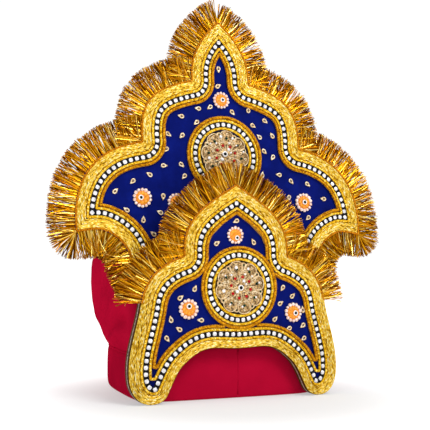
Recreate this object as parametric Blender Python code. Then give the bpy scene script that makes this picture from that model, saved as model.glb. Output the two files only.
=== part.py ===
"""A mukut crown: a crimson cloth cap with two velvet-covered boards standing in front of it.

Both boards carry the same trim, read from the edge inwards: a gold fringe, a thin edge cord, a wide
braid, a yellow cord, a chain of set stones, a second yellow cord and a brown-gold cord. In the middle
of each board sits a round medal inside three cords and a ring of stones.

Metres, +Z up. The crown faces -Y. The origin is on the cap's bottom rim, at the front, in the
middle of the wall.
"""

import math
from collections import Counter

import bmesh
import bpy
import numpy as np

GAP = 0.0003

# Cap
WALL = 0.0024
CAP_HALF_WIDTH = 0.0765
CAP_DEPTH = 0.176
CAP_TAPER = 0.14
WIDEST_PLACE = 0.42
REAR_SQUARENESS = 2.35
PLAN_SAMPLES = 720
BAND_FRONT_HEIGHT = 0.040
BAND_SIDE_HEIGHT = 0.033
BAND_RISE_DEPTH = 0.030
BAND_UPRIGHT = (0.14, 0.86)
HEM_TUCK = 0.0012
SEAM_TUCK = 0.0012
CROWN_TOP = 0.147
CROWN_RUN = 38
CORNER_WEIGHT = 0.05
BOW_REACH = 0.25
FOLD_DEPTH = 0.004

# Front board
FRONT_HALF_WIDTH = 0.0856
FRONT_APEX = 0.1636
FRONT_THICKNESS = 0.008
FRONT_LEAN = 0.046
FRONT_BEND = 0.715
FRONT_SEAT = 0.080

# Back board
BACK_HALF_WIDTH = 0.1215
BACK_APEX = 0.2974
BACK_THICKNESS = 0.006
BACK_LEAN = 0.115
BACK_BEND = 0.18
BOARD_SPACING = 0.0098

# Trim, from the edge of a board inwards
EDGE_INSET = 0.0006
EDGE_CORD = 0.0009
BRAID = 0.0066
YELLOW_CORD = 0.0020
STONE_CHAIN = 0.0038
BROWN_CORD = 0.0026
EDGE_CORD_HEIGHT = 0.0016
BRAID_HEIGHT = 0.0016
YELLOW_HEIGHT = 0.0020
BROWN_HEIGHT = 0.0020
CORD_BEVEL = 0.2
ARCH_SQUEEZE = 0.0024
SQUEEZE_RUN = 0.030

# Fringe
FRINGE_LENGTH = 0.0205
FRINGE_ROOT = 0.0036
FRINGE_TIP = 0.0012
FRINGE_LIFT = 0.0006
LOCK_WIDTH = 0.0092
LOCK_CUT = 0.86

# Medals and flowers
FRONT_MEDAL_RADIUS = 0.0245
BACK_MEDAL_RADIUS = 0.0250
MEDAL_RUN = 20
ROSETTE_HEIGHT = 0.0042
ROSETTE_PETALS = 12
ROSETTE_SCALLOP = 0.04
FRONT_MEDAL_HEIGHT = 0.516
BACK_MEDAL_HEIGHT = 0.629
FRONT_MEDAL_SIDE = 0.0013
BACK_MEDAL_SIDE = 0.0008
MEDAL_PRESS = 0.0011
PRESS_REACH = 12
FLOWER_RADIUS = 0.0074
FLOWER_HEIGHT = 0.0026
FLOWER_PETALS = 8
FLOWER_SCALLOP = 0.12

# Fineness of the outlines
TURN_STEP = 20.0
LENGTH_STEP = 0.026
COLUMN_STEP = 0.024

# Outline of each board's right half, from the apex down: x as a share of the half width, z as a share
# of the apex's height, heading on leaving the last point and on arriving here in degrees, and the
# reach of the curve's handles as a share of the chord
FRONT_OUTLINE = [
    (0.508, 0.665, -33, -93, 0.42),
    (0.890, 0.452, -18, -81, 0.40),
    (1.000, 0.108, -81, -96, 0.35),
    (0.808, 0.000, -96, 180, 0.40),
    (0.667, 0.037, 180, 118, 0.34),
    (0.512, 0.174, 118, 138, 0.34),
    (0.220, 0.242, 138, 180, 0.40),
    (0.000, 0.237, 182, 180, 0.34),
]
BACK_OUTLINE = [
    (0.208, 0.830, -43, -93, 0.38),
    (0.558, 0.659, -14, -93, 0.50),
    (0.988, 0.4215, -9, -96, 0.44),
    (0.825, 0.428, 172, 186, 0.34),
    (0.650, 0.353, 196, -100, 0.36),
    (0.560, 0.256, -100, -100, 0.34),
    (0.000, 0.256, 180, 180, 0.34),
]
# Stretches of these outlines, counted from 0: the front board's bare leg and arch, the back's foot
FRONT_LEG_STRETCH = 2
FRONT_ARCH_STRETCH = 5
BACK_FOOT_STRETCH = 6

# Cap's crown from the band up: height as a share of the crown's own height, half width as a share of
# the cap's, narrowing towards the rear, front and rear as shares of the cap's depth, squareness
CROWN_SECTIONS = [
    (0.00, 0.985, 0.13, 0.000, 0.985, 8.0),
    (0.07, 1.025, 0.11, 0.000, 0.998, 7.0),
    (0.20, 1.055, 0.08, 0.000, 1.012, 6.0),
    (0.36, 1.069, 0.03, 0.000, 1.022, 5.0),
    (0.58, 1.064, 0.00, 0.000, 1.020, 4.5),
    (0.75, 1.028, 0.00, 0.006, 0.995, 4.0),
    (0.88, 0.902, 0.00, 0.040, 0.935, 3.2),
    (0.96, 0.675, 0.00, 0.130, 0.840, 2.6),
    (0.99, 0.415, 0.00, 0.250, 0.740, 2.2),
]
# Soft folds of the crown: place round the plan in turns, lean per unit of height, half width in
# turns, height share of the deepest point, spread in height, depth as a share of FOLD_DEPTH
FOLDS = [
    (0.185, -0.060, 0.020, 0.16, 0.16, 1.00),
    (0.255, -0.050, 0.018, 0.12, 0.12, 0.70),
    (0.345, 0.020, 0.022, 0.14, 0.15, 0.80),
    (0.445, 0.015, 0.020, 0.15, 0.14, 0.70),
    (0.555, -0.015, 0.020, 0.15, 0.14, 0.70),
    (0.655, -0.020, 0.022, 0.14, 0.15, 0.80),
    (0.745, 0.050, 0.018, 0.12, 0.12, 0.70),
    (0.815, 0.060, 0.020, 0.16, 0.16, 1.00),
]

# Flowers: x as a share of the half width, z as a share of the apex's height, radius as a share of
# FLOWER_RADIUS
FRONT_FLOWERS = {
    "top": (-0.018, 0.757, 0.92),
    "left": (-0.459, 0.421, 1.00),
    "right": (0.558, 0.394, 1.00),
}
BACK_FLOWERS = {
    "top": (0.0, 0.782, 0.92),
    "left": (-0.566, 0.512, 1.00),
    "right": (0.566, 0.512, 1.00),
    "inner_left": (-0.338, 0.500, 0.92),
    "inner_right": (0.338, 0.500, 0.92),
}

# Sections of the round pieces, from the rim to the middle: radius and height as shares of their own
ROSETTE_SECTION = [(1.0, 0.40), (0.76, 0.68), (0.68, 0.50), (0.46, 0.80), (0.36, 0.60), (0.18, 1.0)]
FLOWER_SECTION = [(1.0, 0.5), (0.30, 0.7), (0.22, 1.0)]

CRIMSON = (0.38, 0.006, 0.035)
VELVET = (0.008, 0.012, 0.11)
PALE_GOLD = (0.72, 0.50, 0.15)
YELLOW_GOLD = (0.70, 0.42, 0.04)
BROWN_GOLD = (0.42, 0.20, 0.02)
STONE_WHITE = (0.80, 0.80, 0.80)
BEIGE_GOLD = (0.60, 0.45, 0.24)
ORANGE = (0.80, 0.28, 0.02)


def clear_scene():
    for obj in list(bpy.data.objects):
        bpy.data.objects.remove(obj, do_unlink=True)


def material(name, colour, roughness, metallic):
    mat = bpy.data.materials.get(name)
    if mat is None:
        mat = bpy.data.materials.new(name)
        mat.use_nodes = True
        shader = mat.node_tree.nodes["Principled BSDF"]
        shader.inputs["Base Color"].default_value = (*colour, 1.0)
        shader.inputs["Roughness"].default_value = roughness
        shader.inputs["Metallic"].default_value = metallic
    return mat


def finish_object(name, data, mat):
    obj = bpy.data.objects.new(name, data)
    bpy.context.collection.objects.link(obj)
    data.materials.append(mat)
    return obj


def mesh_from_faces(name, points, faces, mat):
    """One closed mesh, its faces turned outwards."""
    shape = bmesh.new()
    verts = [shape.verts.new(p) for p in points]
    for face in faces:
        shape.faces.new([verts[i] for i in face])
    bmesh.ops.recalc_face_normals(shape, faces=shape.faces)
    mesh = bpy.data.meshes.new(name)
    shape.to_mesh(mesh)
    shape.free()
    return finish_object(name, mesh, mat)


def loft(name, rings, mat, closed_path):
    """Skin a closed profile along a path; rings[k][i] is profile corner k at path sample i.

    Samples that share a place, as at a mitred corner, are welded, and faces folded flat are dropped.
    """
    points = []
    index = {}

    def weld(p):
        key = tuple(round(float(c) * 1e6) for c in p)
        if key not in index:
            index[key] = len(points)
            points.append(tuple(float(c) for c in p))
        return index[key]

    grid = [[weld(p) for p in ring] for ring in rings]
    corners = len(grid)
    samples = len(grid[0])
    faces = []
    spans = samples if closed_path else samples - 1
    for k in range(corners):
        for i in range(spans):
            after = (i + 1) % samples
            quad = (grid[k][i], grid[k][after], grid[(k + 1) % corners][after],
                    grid[(k + 1) % corners][i])
            face = []
            for v in quad:
                if v not in face:
                    face.append(v)
            if len(face) == 4:
                faces.append((face[0], face[1], face[2]))
                faces.append((face[0], face[2], face[3]))
            elif len(face) == 3:
                faces.append(tuple(face))
    folded = Counter(frozenset(face) for face in faces)
    faces = [face for face in faces if folded[frozenset(face)] == 1]
    if not closed_path:
        for i in (0, samples - 1):
            cap = [ring[i] for ring in grid]
            faces += [(cap[0], cap[k], cap[k + 1]) for k in range(1, corners - 1)]
    return mesh_from_faces(name, points, faces, mat)


class Board:
    """A bent, leaning board: its outline's samples and the surface that the trim lies on."""

    def __init__(self, stretches, half_width, apex, origin_y, lean, bend, thickness):
        self.half_width = half_width
        self.apex = apex
        self.origin_y = origin_y
        self.lean = lean
        self.bend = bend
        self.thickness = thickness
        right = self.trace(stretches)
        self.half = len(right)
        left = right[::-1].copy()
        left[:, 0] *= -1
        left[:, 2] *= -1
        self.rows = np.vstack([right, left])
        self.place = self.rows[:, :2]
        self.inward = self.rows[:, 2:4]
        self.run = self.rows[:, 4]
        self.stretch = self.rows[:, 5].astype(int)
        chosen = self.pick()
        self.chosen = chosen + [2 * self.half - 1 - i for i in reversed(chosen)]

    def trace(self, stretches, step=0.0006, fan=3.0):
        """Dense samples (x, z, inward x, inward z, length so far, stretch) of the right half."""
        rows = []
        here = np.array([0.0, self.apex])
        last = None
        run = 0.0
        for number, (share_x, share_z, leave, arrive, handle) in enumerate(stretches):
            end = np.array([share_x * self.half_width, share_z * self.apex])
            if last is not None:
                turn = (leave - last + 180) % 360 - 180
                steps = int(math.ceil(max(turn, 0.0) / fan))
                for i in range(1, steps):
                    angle = math.radians(last + turn * i / steps)
                    rows.append((*here, math.sin(angle), -math.cos(angle), run, number))
            chord = float(np.linalg.norm(end - here))
            out = np.array([math.cos(math.radians(leave)), math.sin(math.radians(leave))])
            back = np.array([math.cos(math.radians(arrive)), math.sin(math.radians(arrive))])
            first = here + handle * chord * out
            second = end - handle * chord * back
            count = max(3, int(chord / step))
            before = here
            for i in range(count + 1):
                t = i / count
                s = 1 - t
                point = s**3 * here + 3 * s * s * t * first + 3 * s * t * t * second + t**3 * end
                along = s * s * (first - here) + 2 * s * t * (second - first) + t * t * (end - second)
                along = along / np.linalg.norm(along)
                run += float(np.linalg.norm(point - before))
                before = point
                rows.append((*point, along[1], -along[0], run, number))
            here = end
            last = arrive
        return np.array(rows)

    def pick(self):
        """Samples that a faceted outline needs: ends of stretches, and each turn or length step."""
        chosen = [0]
        for i in range(1, self.half):
            last = chosen[-1]
            cosine = float(np.clip(self.inward[i] @ self.inward[last], -1, 1))
            turned = math.degrees(math.acos(cosine))
            gone = self.run[i] - self.run[last]
            new_stretch = self.stretch[i] != self.stretch[i - 1]
            corner = new_stretch and float(self.inward[i] @ self.inward[i - 1]) < 0.99
            if corner and last != i - 1:
                chosen.append(i - 1)
            if turned >= TURN_STEP or gone >= LENGTH_STEP or corner or i == self.half - 1:
                chosen.append(i)
        return chosen

    def offset(self, distance, tolerance=0.00012):
        """The outline moved inwards by distance, a number or one for each sample, trimmed where
        it would cross itself: each trimmed stretch is drawn together in its corner."""
        distance = np.broadcast_to(np.asarray(distance, float), (len(self.place),))
        moved = self.place + distance[:, None] * self.inward
        reach = np.full(len(moved), np.inf)
        for first in range(0, len(moved), 400):
            block = moved[first:first + 400]
            span = block[:, None, :] - self.place[None, :, :]
            reach[first:first + 400] = np.sqrt((span**2).sum(2)).min(1)
        good = reach >= np.abs(distance) - tolerance
        start = int(np.argmax(good))
        order = np.roll(np.arange(len(moved)), -start)
        result = moved.copy()
        i = 0
        while i < len(order):
            if good[order[i]]:
                i += 1
                continue
            first = i
            while i < len(order) and not good[order[i]]:
                i += 1
            before = moved[order[first - 1]]
            after = moved[order[i % len(order)]]
            corner = self.meet(moved[order[first - 3]], before, moved[order[(i + 2) % len(order)]], after)
            result[order[first:i]] = corner
            result[order[first - 1]] = corner
            result[order[i % len(order)]] = corner
        return result

    @staticmethod
    def meet(a, b, c, d):
        """Where line a-b, run on past b, meets line c-d, run on past d; or half-way from b to d."""
        u = b - a
        v = d - c
        cross = u[0] * v[1] - u[1] * v[0]
        middle = (b + d) / 2
        corner = middle
        if abs(cross) > 1e-3 * np.linalg.norm(u) * np.linalg.norm(v):
            t = ((d[0] - b[0]) * v[1] - (d[1] - b[1]) * v[0]) / cross
            candidate = b + t * u
            if np.linalg.norm(candidate - middle) < 0.002:
                corner = candidate
        if abs(corner[0]) < 0.0004:
            corner = np.array([0.0, corner[1]])
        return corner

    def surface(self, x, z, lift):
        """A point lift in front of the board's face."""
        return (x, self.origin_y + self.lean * z + self.bend * x * x - lift, z)

    def ring(self, distance, lift, samples=None):
        samples = self.chosen if samples is None else samples
        flat = self.offset(distance)
        return [self.surface(flat[i][0], flat[i][1], lift) for i in samples]


def band_height(y):
    """The band is higher at the front, and falls to its side height over BAND_RISE_DEPTH."""
    share = min(max(y / BAND_RISE_DEPTH, 0.0), 1.0)
    ease = share * share * (3 - 2 * share)
    return BAND_FRONT_HEIGHT + (BAND_SIDE_HEIGHT - BAND_FRONT_HEIGHT) * ease


def plan_loop(half_width, taper, front, rear, square, count):
    """Points (x, y) round the cap's plan, from the front's middle towards +X: a square-cornered
    front half and a round rear half, narrowing by taper towards the rear."""
    points = []
    depth = rear - front
    widest = front + WIDEST_PLACE * depth
    for i in range(count):
        angle = 2 * math.pi * i / count
        across = math.sin(angle)
        ahead = -math.cos(angle)
        power = 2 / square if ahead < 0 else 2 / REAR_SQUARENESS
        reach = widest - front if ahead < 0 else rear - widest
        x = half_width * math.copysign(abs(across)**power, across)
        y = widest + reach * math.copysign(abs(ahead)**power, ahead)
        x *= 1 - taper * (y - front) / depth
        points.append((x, y))
    return points


def even_loop(points, count):
    """The same closed loop with its points spread by length and turn, so that corners stay round."""
    ring = np.array(points + points[:1])
    along = np.diff(ring, axis=0)
    length = np.linalg.norm(along, axis=1)
    heading = np.unwrap(np.arctan2(along[:, 1], along[:, 0]))
    turn = np.abs(np.diff(heading, append=heading[0] + 2 * math.pi))
    step = length + CORNER_WEIGHT * (turn + np.roll(turn, 1)) / 2
    gone = np.concatenate([[0], np.cumsum(step)])
    want = gone[-1] * np.arange(count) / count
    return np.stack([np.interp(want, gone, ring[:, 0]), np.interp(want, gone, ring[:, 1])], 1)


def loop_normals(loop):
    along = np.roll(loop, -1, axis=0) - np.roll(loop, 1, axis=0)
    along /= np.linalg.norm(along, axis=1)[:, None]
    return np.stack([along[:, 1], -along[:, 0]], 1)


def cap_plan(half_width, taper, front, rear, square):
    return even_loop(plan_loop(half_width, taper, front, rear, square, PLAN_SAMPLES), CROWN_RUN)


def band_plan():
    front = -WALL / 2 - HEM_TUCK
    return cap_plan(CAP_HALF_WIDTH, CAP_TAPER, front, CAP_DEPTH, CROWN_SECTIONS[0][5])


def front_board_y():
    """Where the front board's face starts, so that its back just touches the band's front."""
    height = BAND_UPRIGHT[-1] * BAND_FRONT_HEIGHT
    front = [(x, y) for x, y in band_plan() if y < BAND_RISE_DEPTH and abs(x) < FRONT_SEAT]
    nearest = min(y - FRONT_BEND * x * x for x, y in front)
    return nearest - FRONT_LEAN * height - FRONT_THICKNESS - GAP


def make_band(cloth):
    """Upright wall of the cap, tucked in a little at the hem and at the seam with the crown."""
    outer = band_plan()
    normals = loop_normals(outer)
    heights = np.array([band_height(p[1]) for p in outer])
    levels = [(0.0, HEM_TUCK)] + [(share, 0.0) for share in BAND_UPRIGHT] + [(1.0, SEAM_TUCK)]
    rings = []
    for share, tuck in levels:
        flat = outer - tuck * normals
        rings.append([(x, y, share * h) for (x, y), h in zip(flat, heights)])
    for share, tuck in reversed(levels):
        flat = outer - (tuck + WALL) * normals
        rings.append([(x, y, share * h) for (x, y), h in zip(flat, heights)])
    loft("cap_band", rings, cloth, closed_path=True)


def crown_front(z, board):
    """The crown's front wall: up from the band, then just behind the back board."""
    seat = board.origin_y + board.thickness + GAP
    foot = BACK_OUTLINE[BACK_FOOT_STRETCH][1] * board.apex
    behind = seat + board.lean * max(z, foot)
    base = -WALL / 2 - HEM_TUCK + SEAM_TUCK
    share = min(max((z - BAND_FRONT_HEIGHT) / (foot - BAND_FRONT_HEIGHT), 0.0), 1.0)
    return base + (behind - base) * share


def fold_depth(turn, height):
    """How far the cloth dips at a place round the crown and a share of its height."""
    depth = 0.0
    for place, lean, half_width, level, spread, share in FOLDS:
        across = (turn - place - lean * height) / half_width
        up = (height - level) / spread
        depth += share * FOLD_DEPTH * math.exp(-across * across - up * up)
    return depth


def make_crown(cloth, board):
    """Puffed cloth top of the cap, open below, its front wall flat behind the back board."""
    outer_rings = []
    inner_rings = []
    for share, width, taper, front_in, rear_at, square in CROWN_SECTIONS:
        middle_z = BAND_SIDE_HEIGHT + share * (CROWN_TOP - BAND_SIDE_HEIGHT)
        front_z = BAND_FRONT_HEIGHT + share * (CROWN_TOP - BAND_FRONT_HEIGHT)
        front = crown_front(front_z, board) + front_in * CAP_DEPTH
        loop = cap_plan(width * CAP_HALF_WIDTH, taper, front, rear_at * CAP_DEPTH, square)
        normals = loop_normals(loop)
        outer = []
        inner = []
        for i, (point, normal) in enumerate(zip(loop, normals)):
            base = band_height(point[1]) + GAP
            z = base + share * (CROWN_TOP - base)
            ahead = max(0.0, 1 - (point[1] - front) / (BOW_REACH * CAP_DEPTH))
            bow = board.bend * point[0] ** 2 * ahead
            dip = fold_depth(i / CROWN_RUN, share)
            x, y = point - dip * normal
            outer.append((x, y + bow, z))
            x, y = point - (dip + WALL) * normal
            inner.append((x, y + bow, max(z - WALL * share, base)))
        outer_rings.append(outer)
        inner_rings.append(inner)
    lid = outer_rings[-1]
    points = []
    faces = []
    for ring in outer_rings:
        points += ring
    for ring in inner_rings:
        points += ring
    levels = len(outer_rings)

    def place(level, i):
        return level * CROWN_RUN + i % CROWN_RUN

    for side in (0, levels):
        for level in range(levels - 1):
            for i in range(CROWN_RUN):
                quad = (place(side + level, i), place(side + level, i + 1),
                        place(side + level + 1, i + 1), place(side + level + 1, i))
                faces.append((quad[0], quad[1], quad[2]))
                faces.append((quad[0], quad[2], quad[3]))
    for i in range(CROWN_RUN):
        quad = (place(0, i), place(0, i + 1), place(levels, i + 1), place(levels, i))
        faces.append((quad[0], quad[1], quad[2]))
        faces.append((quad[0], quad[2], quad[3]))
    centre = np.mean(lid, axis=0)
    for side, top in ((0, CROWN_TOP), (levels, CROWN_TOP - WALL)):
        points.append((0.0, centre[1], top))
        for i in range(CROWN_RUN):
            faces.append((len(points) - 1, place(side + levels - 1, i), place(side + levels - 1, i + 1)))
    mesh_from_faces("cap_crown", points, faces, cloth)


def make_board(name, board, fringed, velvet):
    """The board's body: its outline filled, cut in upright columns so that it can bend.

    Along the fringe it turns at the fringe's own samples, so that the fringe's head hugs it.
    """
    flat = board.offset(0.0)
    first = board.run[fringed[0]]
    last = board.run[fringed[-1]]
    bare = [i for i in board.chosen if not first <= board.run[i] <= last]
    corners = []
    for i in sorted(bare + fringed + mirrored(board, fringed)):
        point = (float(flat[i][0]), float(flat[i][1]))
        if not corners or math.dist(point, corners[-1]) > 1e-5:
            corners.append(point)
    if math.dist(corners[0], corners[-1]) < 1e-5:
        corners.pop()
    shape = bmesh.new()
    verts = [shape.verts.new((x, 0.0, z)) for x, z in corners]
    face = shape.faces.new(verts)
    extruded = bmesh.ops.extrude_face_region(shape, geom=[face])
    for item in extruded["geom"]:
        if isinstance(item, bmesh.types.BMVert):
            item.co.y = 1.0
    columns = int(board.half_width / COLUMN_STEP)
    for column in range(-columns, columns + 1):
        bmesh.ops.bisect_plane(
            shape, geom=shape.verts[:] + shape.edges[:] + shape.faces[:], dist=1e-6,
            plane_co=(column * COLUMN_STEP, 0, 0), plane_no=(1, 0, 0))
    bmesh.ops.triangulate(shape, faces=shape.faces[:])
    for vert in shape.verts:
        lift = -board.thickness if vert.co.y > 0.5 else 0.0
        vert.co = board.surface(vert.co.x, vert.co.z, lift)
    bmesh.ops.recalc_face_normals(shape, faces=shape.faces)
    mesh = bpy.data.meshes.new(name)
    shape.to_mesh(mesh)
    shape.free()
    finish_object(name, mesh, velvet)


def cord_profile(outer, inner, height):
    """Corners of a cord's section: its foot at either side and a rounded back."""
    bevel = CORD_BEVEL * (inner - outer)
    return [(outer, GAP), (outer + bevel, height), (inner - bevel, height), (inner, GAP)]


def make_strip(name, board, profile, mat, samples=None, closed=True):
    rings = [board.ring(distance, lift, samples) for distance, lift in profile]
    return loft(name, rings, mat, closed)


def make_tube(name, points, radius, mat, cyclic):
    """A plain round tube along the given points."""
    curve = bpy.data.curves.new(name, "CURVE")
    curve.dimensions = "3D"
    curve.bevel_depth = radius
    curve.bevel_resolution = 2
    curve.use_fill_caps = not cyclic
    spline = curve.splines.new("POLY")
    kept = []
    for point in points:
        if not kept or math.dist(point, kept[-1]) > radius:
            kept.append(point)
    if cyclic and math.dist(kept[0], kept[-1]) <= radius:
        kept.pop()
    spline.points.add(len(kept) - 1)
    for control, point in zip(spline.points, kept):
        control.co = (*point, 1.0)
    spline.use_cyclic_u = cyclic
    return finish_object(name, curve, mat)


def mirrored(board, right):
    """The left half's samples that mirror these of the right half, in path order."""
    return [2 * board.half - 1 - i for i in reversed(right)]


def clear_spans(board, rings, centre, radius):
    """Chosen samples at which every ring stays outside a circle on the board, in three runs: over the
    circle, and along the leg at either side."""
    top = []
    leg = []
    passed = False
    for i, sample in enumerate(board.chosen):
        if sample >= board.half:
            break
        away = min(math.dist((ring[i][0], ring[i][2]), centre) for ring in rings)
        passed = passed or away <= radius or rings[-1][i][2] < centre[1]
        if away > radius:
            (leg if passed else top).append(sample)
    return {"top": mirrored(board, top) + top, "left_leg": mirrored(board, leg), "right_leg": leg}


def trim_stack(shift, braid_start):
    """Where each strip begins and ends, measured inwards from the outline.

    The strips lie closer to the edge by shift; the braid starts at braid_start.
    """
    braid = (braid_start, EDGE_INSET + EDGE_CORD + GAP + BRAID - shift)
    outer = (braid[1] + GAP, braid[1] + GAP + YELLOW_CORD)
    chain = (outer[1] + GAP, outer[1] + GAP + STONE_CHAIN)
    inner = (chain[1] + GAP, chain[1] + GAP + YELLOW_CORD)
    brown = (inner[1] + GAP, inner[1] + GAP + BROWN_CORD)
    return {"braid": braid, "outer": outer, "chain": chain, "inner": inner, "brown": brown}


def medal_rings(radius):
    """Inner and outer radius of each ring round a medal, from the rosette out, round a chain of stones
    of the given radius."""
    chain = (radius - STONE_CHAIN / 2, radius + STONE_CHAIN / 2)
    inner = (chain[0] - GAP - YELLOW_CORD, chain[0] - GAP)
    outer = (chain[1] + GAP, chain[1] + GAP + YELLOW_CORD)
    brown = (outer[1] + GAP, outer[1] + GAP + BROWN_CORD)
    return {"inner": inner, "outer": outer, "brown": brown, "rosette": inner[0] - GAP}


def circle_on(board, centre, radius, lift, press=0.0):
    """Circle laid on the board, pressed in round its lowest point."""
    points = []
    for i in range(MEDAL_RUN):
        angle = 2 * math.pi * i / MEDAL_RUN
        reach = radius - press * max(0.0, -math.cos(angle))**PRESS_REACH
        x = centre[0] + reach * math.sin(angle)
        z = centre[1] + reach * math.cos(angle)
        points.append(board.surface(x, z, lift))
    return points


def make_ring_cord(name, board, centre, span, height, mat, press=0.0):
    """Cord round a medal, its outer side pressed in at the lowest point."""
    rings = []
    for radius, lift in cord_profile(span[0], span[1], height):
        share = (radius - span[0]) / (span[1] - span[0])
        rings.append(circle_on(board, centre, radius, lift, press * share))
    loft(name, rings, mat, closed_path=True)


def make_turned(name, board, centre, radius, height, section, petals, scallop, mat):
    """A round piece on the board from its section, with a rim scalloped in petals."""
    profile = [(radius * section[0][0], GAP)]
    profile += [(radius * reach, height * rise) for reach, rise in section]
    count = 2 * petals
    points = []
    for reach, lift in profile:
        for i in range(count):
            angle = 2 * math.pi * i / count
            wave = 1 - scallop * (0.5 - 0.5 * math.cos(petals * angle))
            x = centre[0] + reach * wave * math.sin(angle)
            z = centre[1] + reach * wave * math.cos(angle)
            points.append(board.surface(x, z, lift))
    faces = []
    for level in range(len(profile) - 1):
        for i in range(count):
            a = level * count + i
            b = level * count + (i + 1) % count
            faces.append((a, b, b + count))
            faces.append((a, b + count, a + count))
    for level, lift in ((0, profile[0][1]), (len(profile) - 1, profile[-1][1])):
        points.append(board.surface(centre[0], centre[1], lift))
        for i in range(count):
            faces.append((len(points) - 1, level * count + i, level * count + (i + 1) % count))
    mesh_from_faces(name, points, faces, mat)


def make_medal(side, board, centre, radius, press, mats):
    """Rosette, inner cord, ring of stones, outer cord and brown cord."""
    rings = medal_rings(radius)
    make_turned(f"{side}_medal_rosette", board, centre, rings["rosette"], ROSETTE_HEIGHT, ROSETTE_SECTION,
                ROSETTE_PETALS, ROSETTE_SCALLOP, mats["beige"])
    make_ring_cord(f"{side}_medal_inner_cord", board, centre, rings["inner"], YELLOW_HEIGHT, mats["yellow"])
    chain = circle_on(board, centre, radius, GAP + STONE_CHAIN / 2)
    make_tube(f"{side}_medal_stone_chain", chain, STONE_CHAIN / 2, mats["stone"], cyclic=True)
    make_ring_cord(f"{side}_medal_outer_cord", board, centre, rings["outer"], YELLOW_HEIGHT, mats["yellow"])
    make_ring_cord(f"{side}_medal_brown_cord", board, centre, rings["brown"], BROWN_HEIGHT, mats["brown"],
                   press)


def fringe_samples(board, first_run, last_run):
    """Dense samples of the right half, one at each side of every lock, between two lengths."""
    locks = max(2, int(round((last_run - first_run) / LOCK_WIDTH)))
    want = np.linspace(first_run, last_run, 2 * locks + 1)
    run = board.run[:board.half]
    samples = []
    for target in want:
        i = int(np.searchsorted(run, target))
        samples.append(min(i, board.half - 1))
    for i in range(1, board.half):
        if board.stretch[i] != board.stretch[i - 1] and first_run < run[i] < last_run:
            samples += [i - 1, i]
    return sorted(set(samples))


def make_fringe(side, board, samples, mat):
    """Left and right fringe of a board: locks fused to a head that hugs the board's edge."""
    length = np.full(len(board.place), FRINGE_LENGTH)
    for order, i in enumerate(samples):
        cut = LOCK_CUT if order % 2 else 1.0
        length[i] = FRINGE_LENGTH * cut
        length[2 * board.half - 1 - i] = length[i]
    middle = FRINGE_LIFT - FRINGE_ROOT / 2
    profile = [
        (-GAP, FRINGE_LIFT),
        (-length, middle + FRINGE_TIP / 2),
        (-length, middle - FRINGE_TIP / 2),
        (-GAP, FRINGE_LIFT - FRINGE_ROOT),
    ]
    make_strip(f"{side}_fringe_right", board, profile, mat, samples, closed=False)
    make_strip(f"{side}_fringe_left", board, profile, mat, mirrored(board, samples), closed=False)


def both_sides(board, rows):
    """Chosen samples of the right half that pass, and their mirror images, in path order."""
    right = [i for i in board.chosen if i < board.half and rows(i)]
    return mirrored(board, right) + right


def trim_front(board):
    """The front board's strips, closer to the edge round the arch, and where its fringe ends."""
    fringe_end = board.run[np.argmax(board.stretch == FRONT_LEG_STRETCH)]
    arch_start = board.run[np.argmax(board.stretch == FRONT_ARCH_STRETCH)]
    ease = np.clip((board.run - arch_start + SQUEEZE_RUN) / SQUEEZE_RUN, 0.0, 1.0)
    shift = ARCH_SQUEEZE * ease * ease * (3 - 2 * ease)
    braid_start = np.where(board.run > fringe_end, GAP, EDGE_INSET + EDGE_CORD + GAP)
    return trim_stack(shift, braid_start), fringe_end


def make_trim(side, board, stack, mats, path, closed):
    """Braid, two yellow cords and the stone chain, from the edge inwards."""
    outer, inner = stack["braid"]
    braid = [(outer, GAP), (outer + GAP, BRAID_HEIGHT), (inner - GAP, BRAID_HEIGHT), (inner, GAP)]
    make_strip(f"{side}_braid", board, braid, mats["pale"], path, closed)
    make_strip(f"{side}_outer_cord", board, cord_profile(*stack["outer"], YELLOW_HEIGHT), mats["yellow"],
               path, closed)
    make_strip(f"{side}_inner_cord", board, cord_profile(*stack["inner"], YELLOW_HEIGHT), mats["yellow"],
               path, closed)
    middle = (stack["chain"][0] + stack["chain"][1]) / 2
    line = board.ring(middle, GAP + STONE_CHAIN / 2, path)
    make_tube(f"{side}_stone_chain", line, STONE_CHAIN / 2, mats["stone"], cyclic=closed)


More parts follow.
